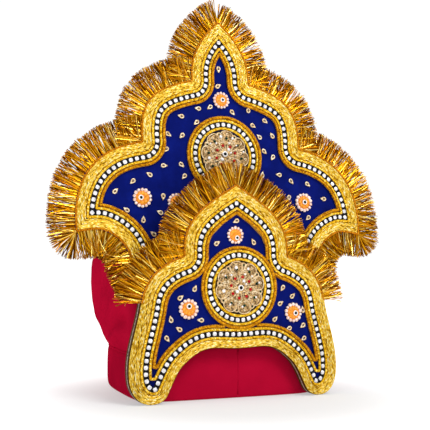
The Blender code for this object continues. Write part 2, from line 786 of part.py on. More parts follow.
def main():
    clear_scene()
    mats = {
        "cloth": material("crimson_cloth", CRIMSON, 0.75, 0.0),
        "velvet": material("blue_velvet", VELVET, 0.9, 0.0),
        "pale": material("pale_gold_braid", PALE_GOLD, 0.4, 0.6),
        "yellow": material("yellow_gold_cord", YELLOW_GOLD, 0.4, 0.6),
        "brown": material("brown_gold_cord", BROWN_GOLD, 0.5, 0.5),
        "stone": material("white_stones", STONE_WHITE, 0.1, 0.0),
        "beige": material("beige_gold_filigree", BEIGE_GOLD, 0.35, 0.8),
        "flower": material("orange_flower", ORANGE, 0.5, 0.0),
        "fringe": material("gold_fringe", YELLOW_GOLD, 0.35, 0.7),
    }
    front_y = front_board_y()
    front = Board(FRONT_OUTLINE, FRONT_HALF_WIDTH, FRONT_APEX, front_y, FRONT_LEAN, FRONT_BEND,
                  FRONT_THICKNESS)
    back = Board(BACK_OUTLINE, BACK_HALF_WIDTH, BACK_APEX, front_y + BOARD_SPACING, BACK_LEAN, BACK_BEND,
                 BACK_THICKNESS)

    make_band(mats["cloth"])
    make_crown(mats["cloth"], back)
    front_stack, fringe_end = trim_front(front)
    fringed = fringe_samples(front, GAP, fringe_end)
    make_board("front_board", front, fringed, mats["velvet"])
    make_fringe("front", front, fringed, mats["fringe"])
    edge = cord_profile(EDGE_INSET, EDGE_INSET + EDGE_CORD, EDGE_CORD_HEIGHT)
    path = both_sides(front, lambda i: front.run[i] <= fringe_end)
    make_strip("front_edge_cord", front, edge, mats["brown"], path, closed=False)
    lobe_end = back.run[np.argmax(back.stretch == BACK_FOOT_STRETCH - 1)]
    fringed = fringe_samples(back, GAP, lobe_end)
    make_board("back_board", back, fringed, mats["velvet"])
    make_fringe("back", back, fringed, mats["fringe"])
    path = both_sides(back, lambda i: back.stretch[i] < BACK_FOOT_STRETCH)
    make_strip("back_edge_cord", back, edge, mats["brown"], path, closed=False)

    make_trim("front", front, front_stack, mats, front.chosen, closed=True)

    back_stack = trim_stack(0.0, EDGE_INSET + EDGE_CORD + GAP)
    make_trim("back", back, back_stack, mats, path, closed=False)
    make_strip("back_brown_cord", back, cord_profile(*back_stack["brown"], BROWN_HEIGHT), mats["brown"],
               path, closed=False)

    front_centre = (FRONT_MEDAL_SIDE, FRONT_MEDAL_HEIGHT * FRONT_APEX)
    back_centre = (BACK_MEDAL_SIDE, BACK_MEDAL_HEIGHT * BACK_APEX)
    make_medal("front", front, front_centre, FRONT_MEDAL_RADIUS, MEDAL_PRESS, mats)
    make_medal("back", back, back_centre, BACK_MEDAL_RADIUS, 0.0, mats)

    profile = cord_profile(*front_stack["brown"], BROWN_HEIGHT)
    rings = [front.ring(distance, lift) for distance, lift in profile]
    spans = clear_spans(front, rings, front_centre, medal_rings(FRONT_MEDAL_RADIUS)["brown"][1] + GAP)
    for name, span in spans.items():
        make_strip(f"front_brown_cord_{name}", front, profile, mats["brown"], span, closed=False)

    for side, board, flowers in (("front", front, FRONT_FLOWERS), ("back", back, BACK_FLOWERS)):
        for name, (share_x, share_z, share) in flowers.items():
            centre = (share_x * board.half_width, share_z * board.apex)
            make_turned(f"{side}_flower_{name}", board, centre, share * FLOWER_RADIUS, FLOWER_HEIGHT,
                        FLOWER_SECTION, FLOWER_PETALS, FLOWER_SCALLOP, mats["flower"])


main()
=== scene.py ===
# %% [markdown]
# # Dressing a mukut crown
# The real object is a festival crown. A soft red cap carries two stiff boards covered in blue velvet,
# and the boards are edged with gold braid, twisted cords, chains of set stones and a metallic fringe.
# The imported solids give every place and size. This lesson makes what the eye sees of them.

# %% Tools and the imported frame
import math

import bmesh
import bpy
import numpy as np
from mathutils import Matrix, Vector


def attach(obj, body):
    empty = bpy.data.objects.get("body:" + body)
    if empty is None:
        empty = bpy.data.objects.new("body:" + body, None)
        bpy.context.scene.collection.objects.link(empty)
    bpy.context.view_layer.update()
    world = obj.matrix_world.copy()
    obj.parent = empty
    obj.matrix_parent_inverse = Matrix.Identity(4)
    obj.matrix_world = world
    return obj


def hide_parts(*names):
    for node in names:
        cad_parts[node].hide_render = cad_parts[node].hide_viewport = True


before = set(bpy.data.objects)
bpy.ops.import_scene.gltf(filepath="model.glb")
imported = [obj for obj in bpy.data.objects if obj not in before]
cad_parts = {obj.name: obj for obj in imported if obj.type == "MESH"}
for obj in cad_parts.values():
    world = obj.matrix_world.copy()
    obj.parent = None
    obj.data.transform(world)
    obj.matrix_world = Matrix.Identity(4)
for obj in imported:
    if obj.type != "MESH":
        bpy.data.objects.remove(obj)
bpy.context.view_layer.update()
MM = 0.001
rng = np.random.default_rng(86)

# %% [markdown]
# ## Camera
# The photograph was taken a little from the left, slightly below the middle of the crown. Its place and
# lens were worked out from the even pitch of the stones, so they are given here as plain numbers.

# %% Camera
CAMERA_PLACE = (-0.2975, -0.67375, 0.1073)
CAMERA_TURN = (92.52, 0.0, -22.78)

bpy.ops.object.camera_add(location=CAMERA_PLACE, rotation=[math.radians(a) for a in CAMERA_TURN])
camera = bpy.context.object
camera.data.sensor_width = 36.0
camera.data.lens = 80.23
bpy.context.scene.camera = camera

# %% [markdown]
# ## Small helpers for materials
# A colour is written as the sRGB hex value that a colour picker shows. Blender shades in linear light,
# so one function converts it. A second one adds any node with its settings and its links.

# %% Colour and node helpers


def linear(hex_colour):
    """An sRGB hex value as linear red, green, blue and alpha."""
    channels = [int(hex_colour[i:i + 2], 16) / 255 for i in (1, 3, 5)]
    curved = [c / 12.92 if c <= 0.04045 else ((c + 0.055) / 1.055) ** 2.4 for c in channels]
    return (*curved, 1.0)


def add(tree, kind, inputs=None, **settings):
    """Add a node; an input's value is a number, a colour, or the output that it is linked to."""
    node = tree.nodes.new(kind)
    for name, value in settings.items():
        setattr(node, name, value)
    for name, value in (inputs or {}).items():
        if isinstance(value, bpy.types.NodeSocket):
            tree.links.new(value, node.inputs[name])
        else:
            node.inputs[name].default_value = value
    return node


def ramp(tree, factor, stops):
    """A colour ramp from (place, hex colour) stops."""
    node = add(tree, "ShaderNodeValToRGB", {"Fac": factor})
    while len(node.color_ramp.elements) < len(stops):
        node.color_ramp.elements.new(0.5)
    for element, (place, colour) in zip(node.color_ramp.elements, stops):
        element.position = place
        element.color = linear(colour)
    return node.outputs["Color"]


def start_material(name, roughness, metallic=0.0, **sockets):
    """A new material's tree and shader, with the numbers that are the same all over."""
    mat = bpy.data.materials.new(name)
    mat.use_nodes = True
    shader = mat.node_tree.nodes["Principled BSDF"]
    shader.inputs["Roughness"].default_value = roughness
    shader.inputs["Metallic"].default_value = metallic
    for label, value in sockets.items():
        shader.inputs[label.replace("_", " ")].default_value = value
    return mat, mat.node_tree, shader


def object_place(tree):
    return add(tree, "ShaderNodeTexCoord").outputs["Object"]


def bumped(tree, shader, height, depth_mm, strength):
    """Turn a height pattern into relief that is depth_mm deep."""
    bump = add(tree, "ShaderNodeBump", {"Height": height, "Distance": depth_mm * MM, "Strength": strength})
    tree.links.new(bump.outputs["Normal"], shader.inputs["Normal"])


# %% [markdown]
# ## Cloths
# The cap is a satin-weave cotton: fine threads at three to the millimetre, with a soft sheen that runs
# along its folds. The velvet is a short upright pile, which looks dark face on and lights up where it
# is seen at a slant, so it gets sheen and a fine mottling.

# %% Cap cloth and velvet


def cap_cloth():
    mat, tree, shader = start_material(
        "satin weave cotton", 0.8, Sheen_Weight=0.04, Sheen_Roughness=0.5, Specular_IOR_Level=0.0)
    shader.inputs["Sheen Tint"].default_value = linear("#FF2050")
    place = object_place(tree)
    dye = add(tree, "ShaderNodeTexNoise", {"Vector": place, "Scale": 28.0, "Detail": 4.0})
    colour = ramp(tree, dye.outputs["Fac"], [(0.3, "#A80A2C"), (0.55, "#B40C30"), (0.75, "#BE1034")])
    tree.links.new(colour, shader.inputs["Base Color"])
    threads = []
    for turn in ("X", "Z"):
        wave = add(tree, "ShaderNodeTexWave", {"Vector": place, "Scale": 300.0, "Distortion": 1.5},
                   wave_type="BANDS", bands_direction=turn)
        threads.append(wave.outputs["Fac"])
    weave = add(tree, "ShaderNodeMath", {0: threads[0], 1: threads[1]}, operation="MAXIMUM")
    bumped(tree, shader, weave.outputs[0], 0.06, 0.6)
    return mat


def velvet():
    mat, tree, shader = start_material(
        "cotton velvet", 0.92, Sheen_Weight=0.12, Sheen_Roughness=0.35, Specular_IOR_Level=0.06)
    shader.inputs["Sheen Tint"].default_value = linear("#2038C0")
    place = object_place(tree)
    nap = add(tree, "ShaderNodeTexNoise", {"Vector": place, "Scale": 60.0, "Detail": 6.0, "Roughness": 0.7})
    colour = ramp(tree, nap.outputs["Fac"], [(0.3, "#030E54"), (0.5, "#051262"), (0.72, "#091A74")])
    tree.links.new(colour, shader.inputs["Base Color"])
    pile = add(tree, "ShaderNodeTexNoise", {"Vector": place, "Scale": 1800.0, "Detail": 2.0})
    bumped(tree, shader, pile.outputs["Fac"], 0.25, 0.7)
    return mat


cloth = cap_cloth()
pile_cloth = velvet()

# %% [markdown]
# ## Metallic threads
# Zari is a flat metal strip wound round a yellow silk or polyester core. Fresh, it is lemon gold; the
# matt cord uses an oxidised, browner strip. Each thread catches the light on its own, and this is painted
# into the colour: it changes every millimetre or so along each thread, with painted highlights in the
# palest tones and painted shade in the darkest, and the threads' own gold between. Fine windings break
# up the highlights.

# %% Zari threads


def zari(name, tones, roughness, painted_light_fleck_mm, metallic):
    """Thread wound with metal strip; its colour changes in short flecks along each thread, pale tones as
    painted highlights and dark ones as painted shade.
    """
    mat, tree, shader = start_material(name, roughness, metallic, Specular_IOR_Level=0.4)
    shader.inputs["Specular Tint"].default_value = linear("#F0C458")
    thread = add(tree, "ShaderNodeAttribute", attribute_name="thread")
    painted_light_flecks = add(tree, "ShaderNodeMapping", {"Vector": thread.outputs["Vector"]})
    painted_light_flecks.inputs["Scale"].default_value = (1 / painted_light_fleck_mm, 1.7, 1.0)
    # Painted highlight and shade: the flecks' palest tones stand for glints and the darkest for shade.
    tone = add(tree, "ShaderNodeTexNoise",
               {"Vector": painted_light_flecks.outputs["Vector"], "Scale": 1.0, "Detail": 1.0})
    stops = [(0.3 + 0.4 * i / (len(tones) - 1), hex_colour) for i, hex_colour in enumerate(tones)]
    tree.links.new(ramp(tree, tone.outputs["Fac"], stops), shader.inputs["Base Color"])
    place = object_place(tree)
    winding = add(tree, "ShaderNodeTexWave", {"Vector": place, "Scale": 900.0, "Distortion": 6.0,
                                              "Detail": 1.0}, bands_direction="DIAGONAL")
    bumped(tree, shader, winding.outputs["Fac"], 0.08, 0.5)
    return mat


lemon_zari = zari("bright zari thread", ["#946204", "#DDA40A", "#F8CC32", "#FFEE8C"], 0.4, 1.2, 0.65)
brown_zari = zari("oxidised zari thread", ["#7A4404", "#B87608", "#D89812", "#EEB430"], 0.5, 1.0, 0.55)
pale_zari = zari("flattened zari thread", ["#9A6A0A", "#DFAE28", "#F8DA5C", "#FFF8C8"], 0.36, 3.0, 0.65)
dark_zari = zari("tarnished sewing cord", ["#8A4604", "#C87A0A", "#E8A020"], 0.5, 1.2, 0.45)
# Dark brown for painted shade: under the braid's strands, and in stripes on the front board's edge.
shadow_tape = zari("dark tape for painted shade", ["#1A0C04", "#4A2A08", "#6E420C"], 0.8, 1.5, 0.0)


def fringe_zari():
    """Loose metal-strip strands; each has its own tone, kept on the mesh as an attribute, darker for
    strands further back as painted shade.
    """
    mat, tree, shader = start_material("loose zari strands", 0.3, 0.85, Specular_IOR_Level=0.4)
    shader.inputs["Specular Tint"].default_value = linear("#F0C040")
    tone = add(tree, "ShaderNodeAttribute", attribute_name="tone")
    stops = [(0.0, "#4C2202"), (0.28, "#8C4C04"), (0.52, "#CA8208"), (0.78, "#EAB01C"), (1.0, "#FFE27C")]
    tree.links.new(ramp(tree, tone.outputs["Fac"], stops), shader.inputs["Base Color"])
    place = object_place(tree)
    crimp = add(tree, "ShaderNodeTexNoise", {"Vector": place, "Scale": 900.0, "Detail": 1.0})
    bumped(tree, shader, crimp.outputs["Fac"], 0.15, 0.8)
    return mat


strand_zari = fringe_zari()

# %% [markdown]
# ## Stones, beads and metalwork
# The stones are cut glass in blackened cups. Backed by foil, they look white with grey facets rather
# than clear. The rosettes are cast filigree with a beige gilt, and the beads are glazed or moulded.

# %% Stones, beads and metalwork


def plain_finish(name, tones, roughness, metallic=0.0, scale=600.0, relief_mm=0.03, **sockets):
    """A small hard part, faintly uneven in tone and surface."""
    mat, tree, shader = start_material(name, roughness, metallic, **sockets)
    place = object_place(tree)
    tone = add(tree, "ShaderNodeTexNoise", {"Vector": place, "Scale": scale, "Detail": 2.0})
    stops = [(0.35, tones[0]), (0.65, tones[1])]
    tree.links.new(ramp(tree, tone.outputs["Fac"], stops), shader.inputs["Base Color"])
    bumped(tree, shader, tone.outputs["Fac"], relief_mm, 0.5)
    return mat


foiled_glass = plain_finish("foil backed cut glass", ("#D2D2D8", "#FBFBFF"), 0.12, 0.0, 400.0, 0.01,
                            Coat_Weight=0.6, Coat_Roughness=0.05, Specular_IOR_Level=0.6)
black_cup = plain_finish("blackened brass cup", ("#030204", "#0C0A0E"), 0.5, Specular_IOR_Level=0.2)
gilt_filigree = plain_finish("beige gilt casting", ("#4A2C0E", "#EEC480"), 0.36, 0.35, 750.0, 0.3)
ruby_glass = plain_finish("red cut glass", ("#8A0008", "#C40410"), 0.25, Specular_IOR_Level=0.25)
green_glass = plain_finish("dark green cut glass", ("#010F08", "#0C4426"), 0.2, Specular_IOR_Level=0.25)
pearl = plain_finish("glazed white bead", ("#EDE3DC", "#FFFFFF"), 0.18, Coat_Weight=0.6)
pink_pearl = plain_finish("glazed shell-pink bead", ("#E8B9A6", "#FFF0E8"), 0.2, Coat_Weight=0.6)
black_bead = plain_finish("black glass bead", ("#020405", "#06181C"), 0.2, Specular_IOR_Level=0.2)
orange_enamel = plain_finish("orange enamel", ("#E07E04", "#FFA81C"), 0.35, scale=900.0, relief_mm=0.2)
cream_bead = plain_finish("cream gilt bead", ("#E0B77C", "#FFF0CC"), 0.28, 0.2)
grey_tape = plain_finish("grey beige ribbon", ("#5A4C4A", "#C8B8A8"), 0.7)
amber_glass = plain_finish("smoked amber glass", ("#2A1404", "#6A3C10"), 0.1, Coat_Weight=1.0)

# %% [markdown]
# ## Outlines of the boards
# Each board was cut from card along a lobed outline. Its right half is a chain of Bezier curves, the
# same ones as in the source: a point, the headings on leaving and arriving, and how far the handles
# reach. All trim follows this outline at its own distance from the edge, so the outline is moved
# inwards and trimmed where it would cross itself, as a seamstress mitres a ribbon.

# %% Outlines and distances
FRONT_OUTLINE = [
    (0.508, 0.665, -33, -93, 0.42),
    (0.890, 0.452, -18, -81, 0.40),
    (1.000, 0.108, -81, -96, 0.35),
    (0.808, 0.000, -96, 180, 0.40),
    (0.667, 0.037, 180, 118, 0.34),
    (0.512, 0.174, 118, 138, 0.34),
    (0.220, 0.242, 138, 180, 0.40),
    (0.000, 0.237, 182, 180, 0.34),
]
BACK_OUTLINE = [
    (0.208, 0.830, -43, -93, 0.38),
    (0.558, 0.659, -14, -93, 0.50),
    (0.988, 0.4215, -9, -96, 0.44),
    (0.825, 0.428, 172, 186, 0.34),
    (0.650, 0.353, 196, -100, 0.36),
    (0.560, 0.256, -100, -100, 0.34),
    (0.000, 0.256, 180, 180, 0.34),
]
FINE_STEP = 0.5 * MM
CROSSING_MARGIN = 0.12 * MM


class Board:
    """A board's outline, and the bent, leaning face that its trim is sewn to."""

    def __init__(self, node, stretches, half_width, apex, lean, bend):
        self.half_width = half_width
        self.apex = apex
        self.lean = lean
        self.bend = bend
        corners = np.array([v.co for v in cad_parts[node].data.vertices])
        flat = corners[:, 1] - lean * corners[:, 2] - bend * corners[:, 0] ** 2
        self.face = float(flat.min())
        self.thickness = float(flat.max() - flat.min())
        right = self.trace(stretches)
        self.half = len(right)
        left = right[::-1].copy()
        left[:, [0, 2]] *= -1
        rows = np.vstack([right, left])
        self.place = rows[:, :2]
        self.inward = rows[:, 2:4]
        self.run = rows[:, 4]
        self.stretch = rows[:, 5].astype(int)

    def trace(self, stretches):
        """Fine samples of the right half: place, inward direction, length so far and stretch."""
        rows = []
        here = np.array([0.0, self.apex])
        last = None
        run = 0.0
        for number, (share_x, share_z, leave, arrive, handle) in enumerate(stretches):
            end = np.array([share_x * self.half_width, share_z * self.apex])
            turn = 0 if last is None else (leave - last + 180) % 360 - 180
            corner = np.arange(last or 0, (last or 0) + turn, math.copysign(3.0, turn))
            for angle in np.radians(corner[1:]):
                rows.append((*here, math.sin(angle), -math.cos(angle), run, number))
            chord = np.linalg.norm(end - here)
            leave, out = math.radians(leave), math.radians(arrive)
            first = here + handle * chord * np.array([math.cos(leave), math.sin(leave)])
            second = end - handle * chord * np.array([math.cos(out), math.sin(out)])
            before = here
            for t in np.linspace(0, 1, max(4, int(chord / FINE_STEP))):
                s = 1 - t
                point = s**3 * here + 3 * s * s * t * first + 3 * s * t * t * second + t**3 * end
                along = s * s * (first - here) + 2 * s * t * (second - first) + t * t * (end - second)
                along = along / np.linalg.norm(along)
                run += np.linalg.norm(point - before)
                before = point
                rows.append((*point, along[1], -along[0], run, number))
            here = end
            last = arrive
        return np.array(rows)

    def moved(self, inset):
        """The outline moved inwards by inset; samples that cross over are drawn into the corner."""
        inset = np.broadcast_to(np.asarray(inset, float), (len(self.place),))
        moved = self.place + inset[:, None] * self.inward
        reach = np.empty(len(moved))
        for i in range(0, len(moved), 300):
            span = moved[i:i + 300, None, :] - self.place[None, :, :]
            reach[i:i + 300] = np.sqrt((span**2).sum(2)).min(1)
        return moved, reach >= np.abs(inset) - CROSSING_MARGIN

    def lay(self, x, z, lift):
        """Points of the board's face at (x, z), raised towards the viewer by lift."""
        return np.stack([x, self.face + self.lean * z + self.bend * x * x - lift, z], -1)


front = Board("front_board", FRONT_OUTLINE, 85.6 * MM, 163.6 * MM, 0.046, 0.715)
back = Board("back_board", BACK_OUTLINE, 121.5 * MM, 297.4 * MM, 0.115, 0.18)
print(f"Front board: {front.thickness / MM:.1f} mm thick, face at y = {front.face / MM:.1f} mm")

# %% [markdown]
# The strips lie side by side. Round the front board's arch they sit 2.4 mm closer to the edge, because
# there is no fringe there. These are the distances of their middles from the outline.

# %% Lines for the trim
FRINGE_ENDS = 2
ARCH = 5
BACK_FOOT = 6
SQUEEZE = 2.4 * MM
SQUEEZE_RUN = 30 * MM


def squeeze(board):
    """How much closer to the edge the strips lie: nothing, easing to SQUEEZE round the arch."""
    if board is back:
        return np.zeros(len(board.run))
    arch_run = board.run[np.argmax(board.stretch == ARCH)]
    ease = np.clip((board.run - arch_run) / SQUEEZE_RUN + 1, 0, 1)
    return SQUEEZE * ease * ease * (3 - 2 * ease)


def even(points, step, closed):
    """The same line with its points spread evenly, about step apart; and its length."""
    if closed:
        points = np.vstack([points, points[:1]])
    gone = np.concatenate([[0], np.cumsum(np.linalg.norm(np.diff(points, axis=0), axis=1))])
    count = max(4, round(gone[-1] / step))
    want = gone[-1] * np.arange(count + (0 if closed else 1)) / count
    return np.stack([np.interp(want, gone, points[:, k]) for k in (0, 1)], 1), gone[-1]


def path_on(board, inset, stretches):
    """The line along the outline at this inset, from the left end over the apex to the right."""
    moved, good = board.moved(inset)
    order = np.roll(np.arange(len(moved)), board.half)
    keep = good[order]
    if stretches is not None:
        keep &= np.isin(board.stretch[order], stretches)
    return moved[order][keep]


def line_on(board, inset, step=FINE_STEP, stretches=None, closed=False):
    """An even line along the outline, closer to the edge round the arch; and its length."""
    return even(path_on(board, inset - squeeze(board), stretches), step, closed)


def sideways(points, closed):
    """Unit vectors at right angles to a line, pointing to the right of its direction."""
    if closed:
        along = np.roll(points, -1, axis=0) - np.roll(points, 1, axis=0)
    else:
        along = np.gradient(points, axis=0)
    along /= np.linalg.norm(along, axis=1)[:, None]
    return np.stack([along[:, 1], -along[:, 0]], 1)


# %% [markdown]
# ## Making a cord
# A twisted cord is two or three strands wound round each other. Each strand is one spline that winds
# round the cord's middle line, with a round bevel to give it body. The curve is then made a mesh,
# because the exported model holds meshes only.

# %% Strands and cords


def select_only(obj):
    bpy.ops.object.select_all(action="DESELECT")
    obj.select_set(True)
    bpy.context.view_layer.objects.active = obj


def set_material(obj, mat):
    obj.data.materials.clear()
    obj.data.materials.append(mat)


def new_object(name, data):
    """An object with this data, in the scene."""
    obj = bpy.data.objects.new(name, data)
    bpy.context.collection.objects.link(obj)
    return obj


def settle():
    """Make the active object's place, turn and size part of its mesh."""
    bpy.ops.object.transform_apply(location=True, rotation=True, scale=True)


def turn_faces_outwards(obj):
    select_only(obj)
    bpy.ops.object.mode_set(mode="EDIT")
    bpy.ops.mesh.select_all(action="SELECT")
    bpy.ops.mesh.normals_make_consistent(inside=False)
    bpy.ops.object.mode_set(mode="OBJECT")


def strands_to_mesh(name, lines, radius, closed, mat, sides=1):
    """Round strands along lines of 3-D points, as one mesh."""
    curve = bpy.data.curves.new(name, "CURVE")
    curve.dimensions = "3D"
    curve.bevel_depth = radius
    curve.bevel_resolution = sides
    curve.use_fill_caps = False
    for line in lines:
        spline = curve.splines.new("POLY")
        spline.points.add(len(line) - 1)
        spline.points.foreach_set("co", np.hstack([line, np.ones((len(line), 1))]).ravel())
        spline.use_cyclic_u = closed
    obj = new_object(name, curve)
    select_only(obj)
    bpy.ops.object.convert(target="MESH")
    bpy.ops.object.shade_smooth()
    set_material(obj, mat)
    note_threads(obj.data, lines)
    if not closed:
        bpy.ops.object.mode_set(mode="EDIT")
        bpy.ops.mesh.select_all(action="SELECT")
        bpy.ops.mesh.fill_holes(sides=0)
        bpy.ops.object.mode_set(mode="OBJECT")
    return obj


def note_threads(mesh, lines):
    """Keep on each vertex how far along its thread it lies, in mm, and the thread's number."""
    rows = []
    for number, line in enumerate(lines):
        steps = np.linalg.norm(np.diff(line, axis=0), axis=1)
        gone = np.concatenate([[0], np.cumsum(steps)]) / MM
        rows.append(np.stack([gone + 2.3 * number, np.full(len(line), number), np.zeros(len(line))], 1))
    rows = np.concatenate(rows)
    rows = np.repeat(rows, len(mesh.vertices) // len(rows), axis=0)
    mesh.attributes.new("thread", "FLOAT_VECTOR", "POINT").data.foreach_set("vector", rows.ravel())


def wound(board, points, length, closed, strands, pitch, radius, lift):
    """Lines of strands that wind round a middle line on the board."""
    side = sideways(points, closed)
    share = np.arange(len(points)) / (len(points) if closed else len(points) - 1)
    turns = round(length / pitch)
    lines = []
    for number in range(strands):
        angle = 2 * math.pi * (turns * share + number / strands)
        flat = points + side * (radius * np.cos(angle))[:, None]
        lines.append(board.lay(flat[:, 0], flat[:, 1], lift + radius * np.sin(angle)))
    return lines


def finish_piece(obj, slot_name, *nodes):
    """Let the piece ride with the crown and stand for these solids."""
    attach(obj, "root")
    if nodes:
        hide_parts(*nodes)
    print(f"{obj.name}: {len(obj.data.polygons)} faces")
    return obj


# %% [markdown]
# The two bright cords lie either side of the stones, and the brown one lines the velvet. Each medal
# has two bright cords and one brown one, on plain circles.

# %% Cords on the boards and round the medals
BRIGHT = {"strands": 3, "pitch": 4.0 * MM, "radius": 0.58 * MM, "thick": 0.64 * MM, "lift": 1.2 * MM}
BROWN = {"strands": 3, "pitch": 4.2 * MM, "radius": 0.66 * MM, "thick": 0.70 * MM, "lift": 1.35 * MM}
BRIGHT_OUTER = 9.7 * MM
BRIGHT_INNER = 16.1 * MM
BROWN_INSET = 18.7 * MM
CHAIN_INSET = 12.9 * MM
BACK_RUN = range(BACK_FOOT)
FRONT_MEDAL = (1.3 * MM, 84.42 * MM)
BACK_MEDAL = (0.8 * MM, 187.06 * MM)
MEDAL_CHAIN = {"front": 24.5 * MM, "back": 25.0 * MM}
INNER_TIP = 18.5 * MM
BROWN_TIP = 27 * MM
MEDAL_CORDS = {"inner_cord": -3.2 * MM, "outer_cord": 3.2 * MM, "brown_cord": 5.75 * MM}


def circle(centre, radius, step=FINE_STEP):
    count = round(2 * math.pi * radius / step)
    angle = 2 * math.pi * np.arange(count) / count
    return np.stack([centre[0] + radius * np.sin(angle), centre[1] + radius * np.cos(angle)], 1)


def cord(name, board, points, length, closed, kind, mat):
    lines = wound(board, points, length, closed, kind["strands"], kind["pitch"], kind["radius"],
                  kind["lift"])
    return strands_to_mesh(name, lines, kind["thick"], closed, mat)


for side, board, medal in (("front", front, FRONT_MEDAL), ("back", back, BACK_MEDAL)):
    closed = board is front
    stretches = None if closed else BACK_RUN
    for part, inset in (("outer_cord", BRIGHT_OUTER), ("inner_cord", BRIGHT_INNER)):
        points, length = line_on(board, inset, stretches=stretches, closed=closed)
        if closed and part == "inner_cord":
            points, length = even(points[points[:, 1] > INNER_TIP], FINE_STEP, True)
        piece = cord(f"{side}_{part}_wound", board, points, length, closed, BRIGHT, lemon_zari)
        finish_piece(piece, "yellow_gold_cord", f"{side}_{part}")
    for part, further in MEDAL_CORDS.items():
        radius = MEDAL_CHAIN[side] + further
        kind, mat, slot_name = BRIGHT, lemon_zari, "yellow_gold_cord"
        if part == "brown_cord":
            kind, mat, slot_name = BROWN, brown_zari, "brown_gold_cord"
        points = circle(medal, radius)
        piece = cord(f"{side}_medal_{part}_wound", board, points, 2 * math.pi * radius, True, kind, mat)
        finish_piece(piece, slot_name, f"{side}_medal_{part}")

points, length = line_on(back, BROWN_INSET, stretches=BACK_RUN)
piece = cord("back_brown_cord_wound", back, points, length, False, BROWN, brown_zari)
finish_piece(piece, "brown_gold_cord", "back_brown_cord")

# %% [markdown]
# On the front board the medal interrupts the brown cord, which is cut in three: one length over the
# medal and one down each leg.

# %% The front board's brown cord
MEDAL_CLEARANCE = 31.7 * MM


def lengths_clear_of(points, centre, distance):
    """Cut a closed line where it comes nearer than distance to a centre, and at the arch's middle."""
    clear = np.linalg.norm(points - np.array(centre), axis=1) > distance
    clear &= ~((np.abs(points[:, 0]) < 0.5 * MM) & (points[:, 1] < centre[1]))
    start = int(np.argmin(clear))
    points = np.roll(points, -start, axis=0)
    clear = np.roll(clear, -start)
    edges = np.flatnonzero(np.diff(np.concatenate([[0], clear.astype(int), [0]])))
    return [points[a:b] for a, b in zip(edges[::2], edges[1::2]) if b - a > 8]


points, length = line_on(front, BROWN_INSET, closed=True)
points, length = even(points[points[:, 1] > BROWN_TIP], FINE_STEP, True)
for run in lengths_clear_of(points, FRONT_MEDAL, MEDAL_CLEARANCE):
    middle = run[:, 0].mean()
    name = "top" if abs(middle) < 5 * MM else ("left_leg" if middle < 0 else "right_leg")
    run_length = len(run) * FINE_STEP
    piece = cord(f"front_brown_cord_{name}_wound", front, run, run_length, False, BROWN, brown_zari)
    finish_piece(piece, "brown_gold_cord", f"front_brown_cord_{name}")

# %% [markdown]
# ## The wide braid
# The braid is a bundle of flattened threads laid side by side and worked loosely over and under each
# other. Ten strands run along the outline. All but the outermost sway a little at their own rhythm,
# which gives the broken, streaky shine. A dark brown tape underneath fills the gaps with painted shade
# and shows as a thin dark line at both edges.

# %% Strips with a flat section


def strip(name, board, points, closed, section, mat):
    """Sweep a closed section of (sideways, lift) pairs along a line on the board."""
    side = sideways(points, closed)
    count = len(points)
    rings = [board.lay(*(points + across * side).T, lift) for across, lift in section]
    corners = np.concatenate(rings)
    faces = []
    for k in range(len(section)):
        low, high = k * count, (k + 1) % len(section) * count
        for i in range(count if closed else count - 1):
            j = (i + 1) % count
            faces.append((low + i, low + j, high + j, high + i))
    if not closed:
        faces.append([k * count for k in range(len(section))])
        faces.append([k * count + count - 1 for k in reversed(range(len(section)))])
    mesh = bpy.data.meshes.new(name)
    mesh.from_pydata(corners.tolist(), [], faces)
    obj = new_object(name, mesh)
    turn_faces_outwards(obj)
    set_material(obj, mat)
    return obj


def join(name, pieces):
    """Join finished meshes into one piece."""
    select_only(pieces[0])
    for other in pieces[1:]:
        other.select_set(True)
    bpy.ops.object.join()
    pieces[0].name = name
    pieces[0].data.name = name
    return pieces[0]


# %% The braid on both boards
BRAID_FROM = 2.1 * MM
BARE_FROM = 0.75 * MM
BRAID_TO = 8.0 * MM
BRAID_STRANDS = 10
BRAID_STEP = 1.3 * MM
STRAND_THICK = 0.42 * MM


def braid_inset(board, share):
    """The inset of a strand at this share of the braid's width, from its outer edge."""
    start = BRAID_FROM
    if board is front:
        start = np.where(board.stretch >= FRINGE_ENDS, BARE_FROM, BRAID_FROM)
    return start + (BRAID_TO - squeeze(board) - start) * share


def braid_lines(board, stretches, closed):
    """Swaying strands across the braid's width, highest in its middle."""
    lines = []
    for number in range(BRAID_STRANDS):
        share = number / (BRAID_STRANDS - 1)
        path = path_on(board, braid_inset(board, share), stretches)
        points, length = even(path, BRAID_STEP, closed)
        side = sideways(points, closed)
        along = np.arange(len(points)) / len(points)
        cycles = max(1, round(length / (9 * MM)) + number % 3)
        phase = 2 * math.pi * (cycles * along + rng.random())
        sway = 0.2 * MM * math.sin(math.pi * share)
        flat = points + side * (sway * np.sin(phase))[:, None]
        dome = 0.5 * MM * (1 - (2 * share - 1) ** 2)
        lift = 1.15 * MM + dome + sway * np.cos(phase + number)
        lines.append(board.lay(flat[:, 0], flat[:, 1], lift))
    return lines


def painted_shade_under(board, stretches, closed):
    """Dark brown strips under the strands, a little wider than them: painted shade in the gaps and at the
    edges.
    """
    shade_strips = []
    # Painted shade: dark strips under the strands, seen in the gaps and at both edges.
    for share in (0.23, 0.77):
        points, _ = even(path_on(board, braid_inset(board, share), stretches), 2 * MM, closed)
        section = [(-2.0 * MM, 0.1 * MM), (2.0 * MM, 0.1 * MM), (1.9 * MM, 0.9 * MM), (-1.9 * MM, 0.9 * MM)]
        shade_strips.append(strip("tape", board, points, closed, section, shadow_tape))
    return shade_strips


